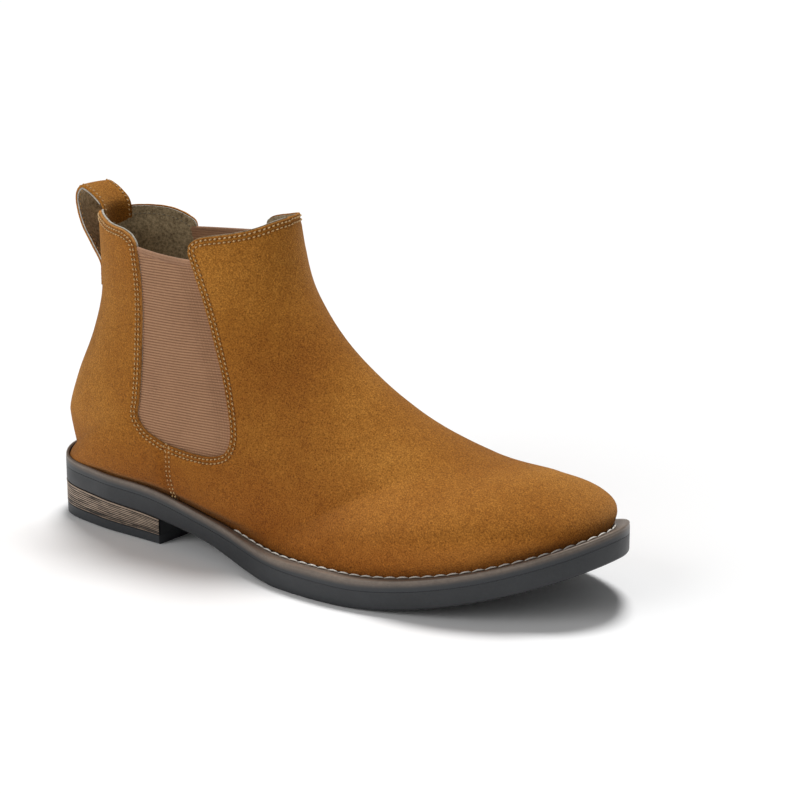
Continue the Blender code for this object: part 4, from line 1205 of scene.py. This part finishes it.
def build_sole():
    def tread(x, d):
        across = ease(np.cos(x / 5.2 * 2 * np.pi), 0.55, 0.8) * ease(d, 6, 7.5)
        return TREAD_DEPTH * (across * (ease(x, -6, 2) * (1 - ease(x, 96, 104))))

    ring = resample(OUTLINE, 700, closed=True)
    side = [(2.6, sole_underside, 0.0), (1.3, sole_underside, 0.02), (0.5, sole_underside, 0.22),
            (0.12, sole_underside, 0.6), (0.0, sole_underside, 1.2), (0.0, sole_top, -1.6), (0.0, sole_top, -0.1),
            (0.3, sole_top, -0.1), (2.6, sole_top, -0.1)]
    done(ring_sweep("sole_edge", ring, side, [LOOKS["sole"]]), "sole_rubber")
    obj = plate("sole_tread", 2.4, lambda x, d: sole_underside(x) + tread(x, d) + 0.001,
                lambda x, d: sole_top(x) - 0.2, 420, LOOKS["sole"], steps=26)
    done(obj, "sole_rubber", "outsole")


def lift_height(x):
    return smooth(x, [(-152, TOP_LIFT_BACK), (HEEL_BREAST, TOP_LIFT_FRONT), (150, TOP_LIFT_FRONT)])


# Layers of stacked leather, and the depth of the line between two of them
STACK_LAYERS, LAYER_GAP = 10, 0.14


def build_heel():
    def underside(x, d):
        across = ease(np.cos((x + 110) / 5.0 * 2 * np.pi), 0.55, 0.8) * ease(d, 6, 7.2)
        bevel = 0.5 * (1 - ease(d, 0, 0.7))
        return HEEL_TREAD_DEPTH * (across * (x < HEEL_BREAST - 5) * (x > -142)) + bevel

    lift = plate("heel_top_lift", 0.15, underside, lambda x, d: lift_height(x) - 0.25 * (1 - ease(d, 0, 0.5)), 420,
                 LOOKS["top_lift"], steps=30)
    done(slice_x(lift, HEEL_BREAST), "top_lift_rubber", "top_lift")

    # Stacked leather: thin layers with a fine line between them, round the sides and the back
    ring = RING[RING[:, 0] < HEEL_BREAST + 6]
    jump = np.linalg.norm(np.diff(ring, axis=0), axis=1).argmax()
    ring = polyline(np.roll(ring, -(jump + 1), 0), 360)
    low, high = lift_height(ring[:, 0]) + 0.1, sole_underside(ring[:, 0]) - 0.1
    levels = 81
    rows, tones = [], []
    outward = ring - inset_open(ring, 1.0)
    for k in range(levels):
        share = k / (levels - 1)
        z = low + (high - low) * share
        ragged = np.array([noise.noise(Vector((p[0] * 0.09, p[1] * 0.09, k * 0.7))) for p in ring])
        gap = (0.5 + 0.5 * np.cos(share * STACK_LAYERS * 2 * np.pi)) ** 2
        out = ring - outward * (0.05 + LAYER_GAP * gap + 0.05 * ragged)[:, None]
        rows.append(np.c_[out, z])
        own = noise.noise(Vector((int(share * STACK_LAYERS + 0.5) * 3.7, 0.5, 0.5)))
        tones.append((1 - gap) * (0.75 + 0.5 * own + 0.4 * ragged))
    inner_line = ring - outward * 1.3
    rows += [np.c_[inner_line, high], np.c_[inner_line, low]]
    obj = mesh_object("heel_stack", np.vstack(rows), capped(len(rows), len(ring)), [LOOKS["stack"]])
    store(obj, layer=np.concatenate(tones))
    clean(obj, merge=FINE_MERGE, sharp=50)
    done(slice_x(obj, HEEL_BREAST), "stacked_leather", "heel_wrap")
    bead = [np.c_[ring + outward * (0.22 * math.cos(a) - 0.1), high + 0.22 * math.sin(a) - 0.1]
            for a in np.linspace(0, 2 * np.pi, 8, endpoint=False)]
    obj = mesh_object("heel_stack_bead", np.vstack(bead), capped(len(bead), len(ring)), [LOOKS["bead"]])
    clean(obj, merge=FINE_MERGE, sharp=0)
    done(slice_x(obj, HEEL_BREAST), "stacked_leather")
    block = plate("heel_core", 1.2, lambda x, d: lift_height(x) + 0.05,
                  lambda x, d: np.maximum(sole_underside(x) - 0.05, lift_height(x) + 1), 200, LOOKS["sole"])
    done(slice_x(block, HEEL_BREAST), "sole_rubber", "heel_block", *[f"heel_nail_{i}" for i in range(1, 6)])


def inset_open(line, depth):
    """An open line of the outline moved inwards by a depth."""
    along = np.gradient(line, axis=0)
    along /= np.linalg.norm(along, axis=1)[:, None]
    inward = np.c_[-along[:, 1], along[:, 0]]
    inward *= np.sign(((RING.mean(0) - line) * inward).sum(1).mean())
    return line + inward * depth


def build_insole():
    def edge(depth):
        return smooth(RING[:, 0], SOLE_EXTENSION) + depth

    done(plate("insole", edge(6.9), lambda x, d: welt_top(x) + 0.3, lambda x, d: welt_top(x) + 2.4, 160,
               LOOKS["insole"], steps=12), "fibre_board", "insole_board")

    def sock_top(x, d):
        hollow = 0.9 * ease(d, 4, 24) * (1 - ease(x, -70, -20))
        heel = 2.3 * ease(d, 0.5, 7) * (1 - ease(x, -90, -80))
        return welt_top(x) + 4.0 + 1.2 * (1 - ease(d, 0, 9)) - hollow + heel

    sock = done(plate("sock", edge(6.6), lambda x, d: welt_top(x) + 2.6, sock_top, 220, LOOKS["sock"], steps=24),
                "lining", "sock_liner", "heel_pad")


# ---------- scene ----------

FLOOR_SIZE, FLOOR_COLOUR, WORLD_STRENGTH = 60, (0.93, 0.93, 0.93, 1), 0.2
# Name, direction towards the light, width in degrees, strength
SUNS = [("key", (-0.12, 0.32, 1.0), 18, 2.6), ("fill", (-0.4, -1.0, 0.55), 45, 1.08)]


def build_stage():
    bpy.ops.mesh.primitive_plane_add(size=FLOOR_SIZE, location=(0, 0, 0))
    floor = bpy.context.object
    floor.name = "floor"
    look = Look("floor", 0.9, Specular_IOR_Level=0.1)
    look.shader.inputs["Base Color"].default_value = FLOOR_COLOUR
    floor.data.materials.append(look.material)

    world = bpy.data.worlds.new("studio")
    world.use_nodes = True
    background = world.node_tree.nodes["Background"]
    background.inputs["Color"].default_value = (1, 1, 1, 1)
    background.inputs["Strength"].default_value = WORLD_STRENGTH
    bpy.context.scene.world = world

    for name, towards, angle, strength in SUNS:
        light = bpy.data.lights.new(name, "SUN")
        light.angle = math.radians(angle)
        light.energy = strength
        link(name, light).rotation_euler = Vector(towards).to_track_quat("Z", "Y").to_euler()


# Camera: direction, distance from its aim, which is above the boot's middle, and steps aside and up, in millimetres
AZIMUTH, ELEVATION, DISTANCE = math.radians(35.17), math.radians(14.85), 1020.2
AIM, ASIDE, UPWARDS = Vector((0, 0, 60.0)), 30.711, 13.053
LENS, SENSOR = 103.4745, 36.0


def build_camera():
    level = math.cos(ELEVATION)
    back = Vector((math.sin(AZIMUTH) * level, -math.cos(AZIMUTH) * level, math.sin(ELEVATION)))
    right = Vector((math.cos(AZIMUTH), math.sin(AZIMUTH), 0))
    up = back.cross(right)
    place = AIM + back * DISTANCE + right * ASIDE + up * UPWARDS
    place = (place - Vector((*CENTRE, 0))) * MM
    camera = link("camera", bpy.data.cameras.new("camera"))
    camera.data.sensor_width, camera.data.lens = SENSOR, LENS
    camera.data.clip_start, camera.data.clip_end = 0.05, 50
    turn = Matrix((right, up, back)).transposed()
    camera.matrix_world = Matrix.Translation(place) @ turn.to_4x4()
    bpy.context.scene.camera = camera
    bpy.context.scene.view_settings.view_transform = "Standard"


build_vamp()
build_quarters()
build_linings()
build_gores()
build_tab()
build_welt()
build_sole()
build_heel()
build_insole()
build_stage()
build_camera()

HIDDEN_LOOKS = {
    "cork_filler": "insole", "heel_seat_filler": "insole", "shank": "steel", "shank_rivet_back": "steel",
    "shank_rivet_front": "steel", "toe_puff": "board", "heel_counter": "board", "vamp_interlining": "canvas",
    "back_stay": "canvas",
}
for node, key in HIDDEN_LOOKS.items():
    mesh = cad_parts[node].data
    mesh.materials.clear()
    mesh.materials.append(LOOKS[key])
